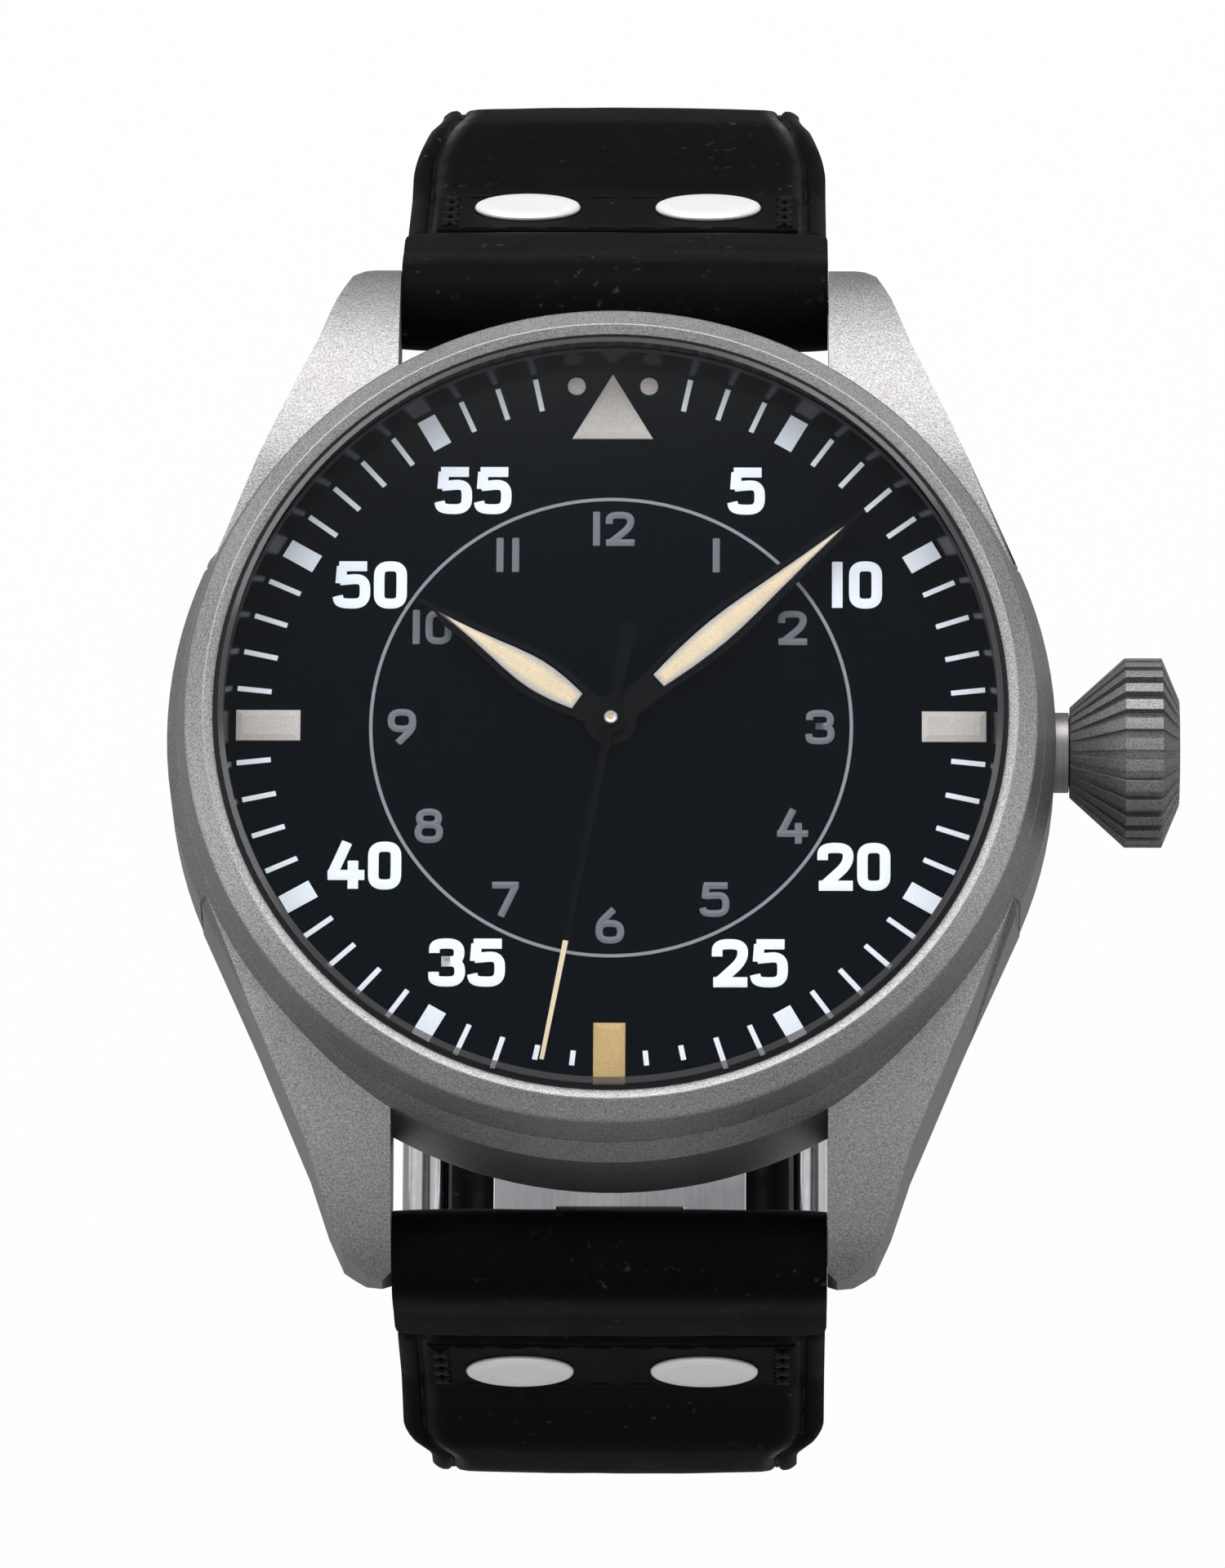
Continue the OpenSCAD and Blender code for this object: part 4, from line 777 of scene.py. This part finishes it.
def strap_piece(name, strap, body, node):
    """A strap half: a closed padded slab with a folded, sewn border."""
    rows = math.ceil((strap.end - STRAP_START) / ROW_STEP) + 1
    columns = len(strap_columns(STRAP_HALF_TOP))

    def at(column, row, layer):
        s = STRAP_START + (strap.end - STRAP_START) * row / (rows - 1)
        x = strap_columns(strap.half_width(s))[column]
        return strap.point(x, s, strap.face(x, s) if layer else -STRAP_T / 2)

    def wear(column, row):
        """Wear and a painted sheen: most on the rolled border and the padding's shoulder, where the
        strap narrows.
        """
        s = STRAP_START + (strap.end - STRAP_START) * row / (rows - 1)
        half = strap.half_width(s)
        reach = (half - STRAP_HALF_LOW) / (STRAP_HALF_TOP - STRAP_HALF_LOW)
        inset = half - abs(strap_columns(half)[column])
        narrowing = max(0.0, 1 - abs(reach - 0.3) / 0.45)
        shoulder = math.exp(-(((inset - GROOVE - 0.35) / 0.3) ** 2))
        border = 0.6 * math.exp(-((inset / 0.35) ** 2))
        patchy = 0.7 + 0.6 * noise.noise(Vector((inset * 2, s * 1.1, strap.side * 3)))
        return min(1.0, (shoulder + border) * (0.1 + 0.9 * narrowing) * patchy)

    bm = shaped_grid(columns, rows, at, closed_depth=True, wear=wear)
    obj = piece(name, bm, leather_black, body, "black_leather", edge=0.3, smooth=50,
                stands_for=[node])
    return obj


# The sleeve's upper face, from its free edge back to the bar: how far in, and how high
SLEEVE_TOP = [
    (0, 1.75), (0.06, 1.92), (0.2, 2.06), (0.42, 2.15), (0.8, 2.2), (1.3, 2.22), (2.2, 2.23),
    (3.4, 2.24), (4.3, 2.21), (4.9, 2.2), (5.5, 2.24), (6.3, 2.29),
]
# Its underside, from the bar out: how far along the strap, and how high
SLEEVE_UNDER = [
    (1.2, -2.12), (2.4, -1.88), (3.75, -1.68), (5.6, -1.65), (7.0, -1.65), (7.5, -1.62),
]
SLEEVE_CORNER_R, SLEEVE_WALL, SLEEVE_EDGE = 1.75, 0.72, 0.16
SLEEVE_UNEVEN, SLEEVE_END_DROP = 0.06, 0.12
FOLD_STEPS, SLEEVE_COLUMNS = 14, 27


def sleeve_piece(name, strap, body, node):
    """A thick strip of leather folded round the spring bar, with rounded outer corners."""
    turns = [math.radians(90 + 180 * i / FOLD_STEPS) for i in range(FOLD_STEPS + 1)]
    fold = [(SLEEVE_R * math.cos(turn), SLEEVE_R * math.sin(turn)) for turn in turns]
    line = [(SLEEVE_LEN - d, h) for d, h in SLEEVE_TOP] + fold + SLEEVE_UNDER

    def at(column, row, _):
        s, d = line[row]
        past = max(0.0, s - (SLEEVE_LEN - SLEEVE_CORNER_R))
        half = SLEEVE_HALF - (SLEEVE_CORNER_R - math.sqrt(SLEEVE_CORNER_R ** 2 - past ** 2))
        x = half * (2 * column / (SLEEVE_COLUMNS - 1) - 1)
        uneven = SLEEVE_UNEVEN * noise.noise(Vector((x * 0.3, row * 0.45, strap.side * 9)))
        end_drop = SLEEVE_END_DROP * (abs(x) / SLEEVE_HALF) ** 8
        reach = 1 + (uneven - end_drop) / SLEEVE_R
        return strap.matrix(0, 0, 0) @ (Vector((x * strap.side, s, d * reach)) * MM)

    bm = shaped_grid(SLEEVE_COLUMNS, len(line), at)
    for face in bm.faces:
        if (face.calc_center_median() - strap.point(0, 3, 0)).dot(face.normal) < 0:
            face.normal_flip()
    return piece(name, bm, leather_rolled, body, "black_leather", edge=SLEEVE_EDGE, smooth=50,
                 wall=SLEEVE_WALL, stands_for=[node])


def stitch(bm, start, end, radius):
    """A short length of thread pulled into the leather at both ends."""
    along = end - start
    turn = along.to_track_quat("X", "Z").to_matrix().to_4x4()
    place = Matrix.Translation((start + end) / 2) @ turn
    size = Matrix.Diagonal((along.length / 2, radius * MM, radius * MM, 1))
    bmesh.ops.create_uvsphere(bm, u_segments=8, v_segments=6, radius=1, matrix=place @ size)


BORDER_PITCH, BORDER_STITCH, BORDER_THREAD_R, BORDER_LIFT = 2.7, 2.0, 0.12, 0.02


def border_stitches(name, strap, body, last):
    """The seam along both borders, from the panel down to last."""
    bm = bmesh.new()
    for side in (-1, 1):
        s = PANEL_TO + 0.6
        while s + BORDER_STITCH < last:
            ends = []
            for place in (s, s + BORDER_STITCH):
                x = side * (strap.half_width(place) - GROOVE)
                ends.append(strap.point(x, place, strap.face(x, place) + BORDER_LIFT))
            stitch(bm, *ends, BORDER_THREAD_R)
            s += BORDER_PITCH
    return piece(name, bm, thread_black, body, "black_leather", smooth=180)


PANEL_T, PANEL_LIFT, PANEL_EDGE = 0.9, 0.07, 0.14
# The bars of crossed stitches: their places across, count, margins, length and thread
BAR_IN, BAR_OUT = 7.95, 8.75
BAR_ROWS, BAR_MARGIN, BAR_SHARE, BAR_THREAD_R = 4, 0.35, 0.92, 0.22
# The seams along the panel's two long sides
SEAM_IN, SEAM_HALF = 0.2, 7.6
SEAM_PITCH, SEAM_STITCH, SEAM_SLANT, SEAM_THREAD_R = 2.05, 1.5, 0.06, 0.1


def panel(name, strap, body):
    """The patch that the rivets hold."""
    bm = bmesh.new()
    top = strap.pad(RIVET_S) + PANEL_LIFT
    size = Matrix.Diagonal((2 * PANEL_HALF * MM, (PANEL_TO - PANEL_FROM) * MM, PANEL_T * MM, 1))
    place = strap.matrix(0, (PANEL_FROM + PANEL_TO) / 2, top - PANEL_T / 2)
    bmesh.ops.create_cube(bm, size=1, matrix=place @ size)
    bmesh.ops.subdivide_edges(bm, edges=bm.edges[:], cuts=1, use_grid_fill=True)
    piece(name + "_panel", bm, leather_black, body, "black_leather", edge=PANEL_EDGE)


def panel_thread(name, strap, body):
    """A bar of crossed stitches at each end of the panel, and a seam along its sides."""
    bm = bmesh.new()
    top = strap.pad(RIVET_S) + PANEL_LIFT
    reach = (PANEL_TO - PANEL_FROM - 2 * BAR_MARGIN) / BAR_ROWS
    for side in (-1, 1):
        for i in range(BAR_ROWS):
            s = PANEL_FROM + BAR_MARGIN + i * reach
            for x_start, x_end in ((BAR_IN, BAR_OUT), (BAR_OUT, BAR_IN)):
                start = strap.point(side * x_start, s, top + 0.03)
                end = strap.point(side * x_end, s + reach * BAR_SHARE, top + 0.03)
                stitch(bm, start, end, BAR_THREAD_R)
    for s in (PANEL_FROM + SEAM_IN, PANEL_TO - SEAM_IN):
        x = -SEAM_HALF
        while x + SEAM_STITCH < SEAM_HALF:
            start = strap.point(x, s, top)
            end = strap.point(x + SEAM_STITCH, s + SEAM_SLANT, top)
            stitch(bm, start, end, SEAM_THREAD_R)
            x += SEAM_PITCH
    piece(name + "_panel_thread", bm, thread_black, body, "black_leather", smooth=180)


SHANK_R, WASHER_R, WASHER_T = 0.8, 1.6, 0.5


def rivet(name, strap, body, x):
    """A flat-domed rivet head, faced on a lathe, with its shank and washer."""
    face = strap.pad(RIVET_S) + PANEL_LIFT
    inner = -STRAP_T / 2
    washer = [
        (0, inner - WASHER_T), (WASHER_R - 0.25, inner - WASHER_T + 0.04),
        (WASHER_R, inner - WASHER_T + 0.2), (WASHER_R, inner),
    ]
    shank = [(SHANK_R, inner), (SHANK_R, face)]
    rim = [
        (RIVET_R - 0.08, face), (RIVET_R, face + 0.08), (RIVET_R, face + 0.16),
        (RIVET_R - 0.06, face + 0.25), (RIVET_R - 0.2, face + 0.31),
    ]
    dome = [
        (RIVET_R * 0.8, face + 0.335), (RIVET_R * 0.55, face + 0.345),
        (RIVET_R * 0.25, face + 0.335), (0, face + 0.32),
    ]
    bm = turned(washer + shank + rim + dome)
    own = bm.verts.layers.float_vector.new("turned_on")
    for v in bm.verts:
        v[own] = v.co
    bm.transform(strap.matrix(x, RIVET_S, 0))
    return piece(name, bm, rivet_steel, body, "polished_steel", smooth=25)


for label, strap in (("upper", upper), ("lower", lower)):
    body = label + "_strap"
    strap_piece(label + "_strap_leather", strap, body, "strap_" + label)
    sleeve_piece(label + "_sleeve_leather", strap, body, label + "_sleeve")
    border_stitches(label + "_border_thread", strap, body, strap.path_length - 8)
    panel(label, strap, body)
    panel_thread(label, strap, body)
    heads = [rivet(f"{label}_rivet_{end}", strap, body, x)
             for end, x in (("left", -RIVET_X), ("right", RIVET_X))]
    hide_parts(label + "_rivets")


# The dial

CORNER_STEPS = 6
# How far a digit's corners are rounded, as a share of half its width
ROUND_SHARE = 0.86
# The gap between two digits, as a share of one's width
GAP_SHARE = 0.1
INK_T = 0.04
# Strokes of each digit, in shares of half its width and height: closed or open, then its corners
DIGITS = {
    "0": [(True, [(-1, -1), (1, -1), (1, 1), (-1, 1)])],
    "1": [(False, [(0, -1.23), (0, 1.23)])],
    "2": [(False, [(-1, 0.35), (-1, 1), (1, 1), (1, 0.15), (-0.8, -0.95)]),
          (False, [(-1.3, -1), (1.36, -1)])],
    "3": [(False, [(-1, 0.5), (-1, 1), (0.94, 1), (0.94, 0.06), (-0.45, 0.06)]),
          (False, [(-0.45, 0.06), (1, 0.06), (1, -1), (-1.05, -1), (-1.05, -0.5)])],
    "4": [(False, [(0.1, 1.23), (-1.0, -0.5)]), (False, [(-1.32, -0.5), (1.4, -0.5)]),
          (False, [(0.55, 0.25), (0.55, -1.23)])],
    "5": [(False, [(-1.05, 1), (1.15, 1)]), (False, [(-0.82, 1.0), (-0.92, 0.08)]),
          (False, [(-0.98, 0.24), (1, 0.36), (1, -1), (-1, -1), (-1.15, -0.6)])],
    "6": [(True, [(-1, -1), (1, -1), (1, 0.2), (-1, 0.2)]),
          (False, [(-1, -0.4), (-1, 0.2), (0.35, 1.2)])],
    "7": [(False, [(-1.2, 1), (1.25, 1)]), (False, [(1.0, 0.98), (-0.4, -1.23)])],
    "8": [(True, [(-0.88, 0.08), (0.88, 0.08), (0.88, 1), (-0.88, 1)]),
          (True, [(-1, -1), (1, -1), (1, 0.08), (-1, 0.08)])],
    "9": [(True, [(-1, -0.2), (1, -0.2), (1, 1), (-1, 1)]),
          (False, [(1, 0.4), (1, -0.2), (-0.35, -1.2)])],
}
WIDTH_SHARES = {"0": 0.92, "1": 0.45, "4": 1.04}


def rounded(corners, reach, closed):
    """The corners, each drawn as a short curve."""
    path = []
    for i, corner in enumerate(corners):
        if not closed and i in (0, len(corners) - 1):
            path.append(corner)
            continue
        arms = []
        for other in (corners[i - 1], corners[(i + 1) % len(corners)]):
            arm = other - corner
            arms.append(corner + arm.normalized() * min(reach, arm.length / 2))
        for step in range(CORNER_STEPS + 1):
            t = step / CORNER_STEPS
            path.append(arms[0] * (1 - t) ** 2 + corner * 2 * t * (1 - t) + arms[1] * t * t)
    return path


def numerals(name, places, width, height, line, finish):
    """Bold upright numerals, each stroke a flat ribbon just proud of the dial."""
    curve = bpy.data.curves.new(name + "_strokes", "CURVE")
    curve.dimensions = "3D"
    curve.twist_mode = "Z_UP"
    curve.bevel_depth = line / 2 * MM
    curve.bevel_resolution = 0
    curve.use_fill_caps = True
    gap = width * GAP_SHARE
    half_h = (height - line) / 2
    for text, x, y in places:
        widths = [width * WIDTH_SHARES.get(digit, 1.0) for digit in text]
        left = x - (sum(widths) + gap * (len(text) - 1)) / 2
        for digit, digit_w in zip(text, widths):
            half_w = (width * max(WIDTH_SHARES.get(digit, 1.0), 0.9) - line) / 2
            centre = Vector((left + digit_w / 2, y))
            left += digit_w + gap
            for closed, corners in DIGITS[digit]:
                points = [centre + Vector((u * half_w, v * half_h)) for u, v in corners]
                path = rounded(points, ROUND_SHARE * half_w, closed)
                spline = curve.splines.new("POLY")
                spline.points.add(len(path) - 1)
                spline.use_cyclic_u = closed
                for knot, place in zip(spline.points, path):
                    knot.co = (place.x * MM, place.y * MM, 0, 1)
    strokes = bpy.data.objects.new(name + "_strokes", curve)
    bpy.context.scene.collection.objects.link(strokes)
    bm = bmesh.new()
    bm.from_mesh(bpy.data.meshes.new_from_object(strokes))
    bpy.data.objects.remove(strokes)
    for v in bm.verts:
        v.co.z = DIAL_Z * MM + v.co.z * INK_T / (line / 2)
    bmesh.ops.recalc_face_normals(bm, faces=bm.faces[:])
    return piece(name, bm, finish, "case", "print_white", smooth=20)


def on_dial(minute, radius):
    """The place of a minute on a circle round the dial's middle."""
    turn = math.radians(6 * minute)
    return radius * math.sin(turn), radius * math.cos(turn)


hours = [(str(hour), *on_dial(5 * hour, HOUR_NUMERAL_R)) for hour in range(1, 13)]
numerals("minute_numerals", MINUTE_NUMERALS, width=1.74, height=2.42, line=0.51, finish=ink_white)
numerals("hour_numerals", hours, width=1.38, height=1.75, line=0.34, finish=ink_grey)


def pillowed(node, inset, lift):
    """Lume with a sloped border and a raised middle."""
    bm = merged_copy(node)
    tops = [face for face in bm.faces if face.normal.z > 0.9]
    bmesh.ops.inset_individual(bm, faces=tops, thickness=inset * MM, depth=lift * MM,
                               use_even_offset=True)
    return piece(node + "_filled", bm, finish_for(node), nodes[node]["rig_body"],
                 slot_of[node], smooth=10, stands_for=[node])


# A hand's filling, in shares of its opening: its sides, its ends, and its raised middle's
FILL_WIDTH_SHARE, FILL_LENGTH_SHARE = 0.86, 0.975
MIDDLE_WIDTH_SHARE, MIDDLE_LENGTH_SHARE = 0.45, 0.93
FILL_LIFT, FIRST_INSET = 0.03, 0.005


def hand_filling(node, turn):
    """Lume drawn in from a hand's frame, with a warm raised middle."""
    bm = merged_copy(node)
    inside = bm.verts.layers.float.new("inside")
    along = Vector((math.sin(math.radians(turn)), math.cos(math.radians(turn)), 0))
    across = Vector((along.y, -along.x, 0))
    middle = sum(v.co.dot(along) for v in bm.verts) / len(bm.verts)

    def draw_in(verts, width, length):
        for v in verts:
            v.co += across * v.co.dot(across) * (width - 1)
            v.co += along * (v.co.dot(along) - middle) * (length - 1)

    draw_in(bm.verts, FILL_WIDTH_SHARE, FILL_LENGTH_SHARE)
    tops = [face for face in bm.faces if face.normal.z > 0.9]
    bmesh.ops.inset_individual(bm, faces=tops, thickness=FIRST_INSET * MM, use_even_offset=True)
    inner = {v for face in tops for v in face.verts}
    draw_in(inner, MIDDLE_WIDTH_SHARE, MIDDLE_LENGTH_SHARE)
    for v in inner:
        v.co.z += FILL_LIFT * MM
        v[inside] = 1.0
    return piece(node + "_filled", bm, finish_for(node), nodes[node]["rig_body"],
                 slot_of[node], smooth=30, stands_for=[node])


pillowed("lume_markers", inset=0.3, lift=0.07)
hand_filling("minute_hand_lume", MINUTE_TURN)
hand_filling("hour_hand_lume", HOUR_TURN)

CAP_BORE_R, CAP_R, CAP_FOOT_Z, CAP_TOP_Z = 0.15, 0.33, 10.7, 10.96
cap = turned([
    (CAP_BORE_R, CAP_FOOT_Z), (CAP_BORE_R, CAP_TOP_Z - 0.03), (CAP_BORE_R + 0.05, CAP_TOP_Z),
    (CAP_R - 0.04, CAP_TOP_Z), (CAP_R, CAP_TOP_Z - 0.04), (CAP_R, CAP_FOOT_Z),
], 48)
piece("seconds_cap", cap, finish_of_slot["rhodium_plate"], "seconds_hand", "rhodium_plate")

# Broken edges on the metal

# How far each piece's edges are broken
EDGES = {
    "case_middle": 0.12, "bezel": 0.06, "crown": 0.045, "crown_tube": 0.05, "case_back": 0.06,
    "clasp_cover": 0.1, "base_leaf": 0.06, "middle_leaf": 0.06, "pusher_left": 0.1,
    "pusher_right": 0.1, "rotor_weight": 0.06, "rotor_plate": 0.04, "barrel_bridge": 0.1,
    "train_bridge": 0.1, "balance_bridge": 0.08, "hour_hand": 0.02, "minute_hand": 0.02,
}
# Pieces with a sharp edge at a flatter angle than the others
TURNED_SMOOTH = {"case_middle": 17, "bezel": 12, "crown_tube": 12}
for node, edge in EDGES.items():
    edged(node, edge)

# Camera, floor and light

# Millimetres and degrees
DISTANCE = 700
LENS = 333
TILT_AZIMUTH, TILT_ELEVATION, ROLL = 1.95, 71.9, 0.13
DIAL_ABOVE_CENTRE, DIAL_LEFT_OF_CENTRE = 2.77, 0.07
NEAREST = 50

azimuth, elevation = math.radians(TILT_AZIMUTH), math.radians(TILT_ELEVATION)
back = Vector((
    math.sin(azimuth) * math.cos(elevation), -math.cos(azimuth) * math.cos(elevation),
    math.sin(elevation),
))
right = (Vector((1, 0, 0)) - back.x * back).normalized()
right.rotate(Matrix.Rotation(math.radians(ROLL), 3, back))
up = back.cross(right)
target = Vector((0, 0, DIAL_Z)) - DIAL_ABOVE_CENTRE * up + DIAL_LEFT_OF_CENTRE * right
camera = bpy.data.objects.new("camera", bpy.data.cameras.new("camera"))
camera.data.lens = LENS
camera.data.clip_start = NEAREST * MM
camera.matrix_world = Matrix.Translation((target + DISTANCE * back) * MM) @ Matrix(
    (right, up, back)
).transposed().to_4x4()
bpy.context.scene.collection.objects.link(camera)
bpy.context.scene.camera = camera


FLOOR_GREY = (0.55, 0.55, 0.55)
MIRRORED_FLOOR = (0.3, 0.3, 0.305)
WHITE_SHARE, MIRRORED_SHARE = 0.975, 0.85
FLOOR_HALF = 2000
# How far the clasp hangs below its closed place when it is open
OPEN_CLASP_REACH = 34


def shown_white(finish, lit):
    """Lit by the lamps, but white as the camera and glass see it, and grey in metal."""
    straight, mirrored, through = [
        finish.add("ShaderNodeLightPath", out=out)
        for out in ("Is Camera Ray", "Is Glossy Ray", "Is Transmission Ray")
    ]
    straight_or_through = straight.math("MAXIMUM", straight, through)
    seen = straight_or_through * WHITE_SHARE + mirrored * MIRRORED_SHARE
    shown = finish.mix(mirrored, (1, 1, 1), MIRRORED_FLOOR)
    plain = finish.add("ShaderNodeEmission", {}, {"Color": shown, "Strength": 1.0})
    return finish.add("ShaderNodeMixShader", {}, {0: seen, 1: lit, 2: plain})


floor_bm = bmesh.new()
bmesh.ops.create_grid(floor_bm, x_segments=1, y_segments=1, size=FLOOR_HALF * MM)
floor_mesh = bpy.data.meshes.new("floor")
floor_bm.to_mesh(floor_mesh)
floor_bm.free()
floor = bpy.data.objects.new("floor", floor_mesh)
floor.location.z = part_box("clasp_cover")[0].z - OPEN_CLASP_REACH * MM
bpy.context.scene.collection.objects.link(floor)
floor_finish = Finish("floor_pale")
floor_lit = floor_finish.add(
    "ShaderNodeBsdfDiffuse", {}, {"Color": solid(FLOOR_GREY), "Roughness": 0.0}
)
pale = shown_white(floor_finish, floor_lit)
# Clear from below, so that the back can be looked at
from_below = floor_finish.add("ShaderNodeNewGeometry", out="Backfacing")
clear = floor_finish.add("ShaderNodeBsdfTransparent")
floor_finish.end(floor_finish.add("ShaderNodeMixShader", {}, {0: from_below, 1: pale, 2: clear}))
floor_mesh.materials.append(floor_finish.material)
floor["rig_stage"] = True

# Metal sees a sky that is dark at the horizon and bright overhead
AMBIENT, MIRRORED_DIP, MIRRORED_RISE = 0.68, 0.4, 0.52
world = bpy.data.worlds.new("studio")
bpy.context.scene.world = world
studio = Nodes(world)
ray, through, glossy = [
    studio.add("ShaderNodeLightPath", out=out)
    for out in ("Is Camera Ray", "Is Transmission Ray", "Is Glossy Ray")
]
height = studio.add("ShaderNodeSeparateXYZ", {}, {0: studio.place("Generated")}, "Z")
backdrop = ray.math("MAXIMUM", ray, through) * (1 - AMBIENT)
strength = AMBIENT + backdrop + glossy * (height * MIRRORED_RISE - MIRRORED_DIP)
sky = studio.add("ShaderNodeBackground", {}, {"Color": (1, 1, 1, 1), "Strength": strength})
studio.end(sky, "ShaderNodeOutputWorld")


def lamp(name, place, size, power, colour):
    """A soft box that faces the watch: its place and its size in metres, and its watts."""
    data = bpy.data.lights.new(name, "AREA")
    data.shape = "RECTANGLE"
    data.size, data.size_y = size
    data.energy = power
    data.color = colour
    obj = bpy.data.objects.new(name, data)
    obj.location = place
    obj.rotation_mode = "QUATERNION"
    obj.rotation_quaternion = Vector(place).to_track_quat("Z", "Y")
    bpy.context.scene.collection.objects.link(obj)


lamp("key_from_twelve", (-0.1, 0.85, 0.68), (1.9, 0.75), 15.8, (1.0, 0.985, 0.99))
lamp("fill_from_left", (-0.85, 0.0, 0.45), (0.5, 0.5), 1.9, (0.985, 0.99, 1.0))
lamp("fill_from_right", (0.85, 0.0, 0.4), (0.5, 0.5), 1.3, (1.0, 1.0, 1.0))

bpy.context.scene.view_settings.view_transform = "Standard"

for low, high in (cad_box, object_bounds()):
    json.dumps([list(low), list(high)]) + "\n"
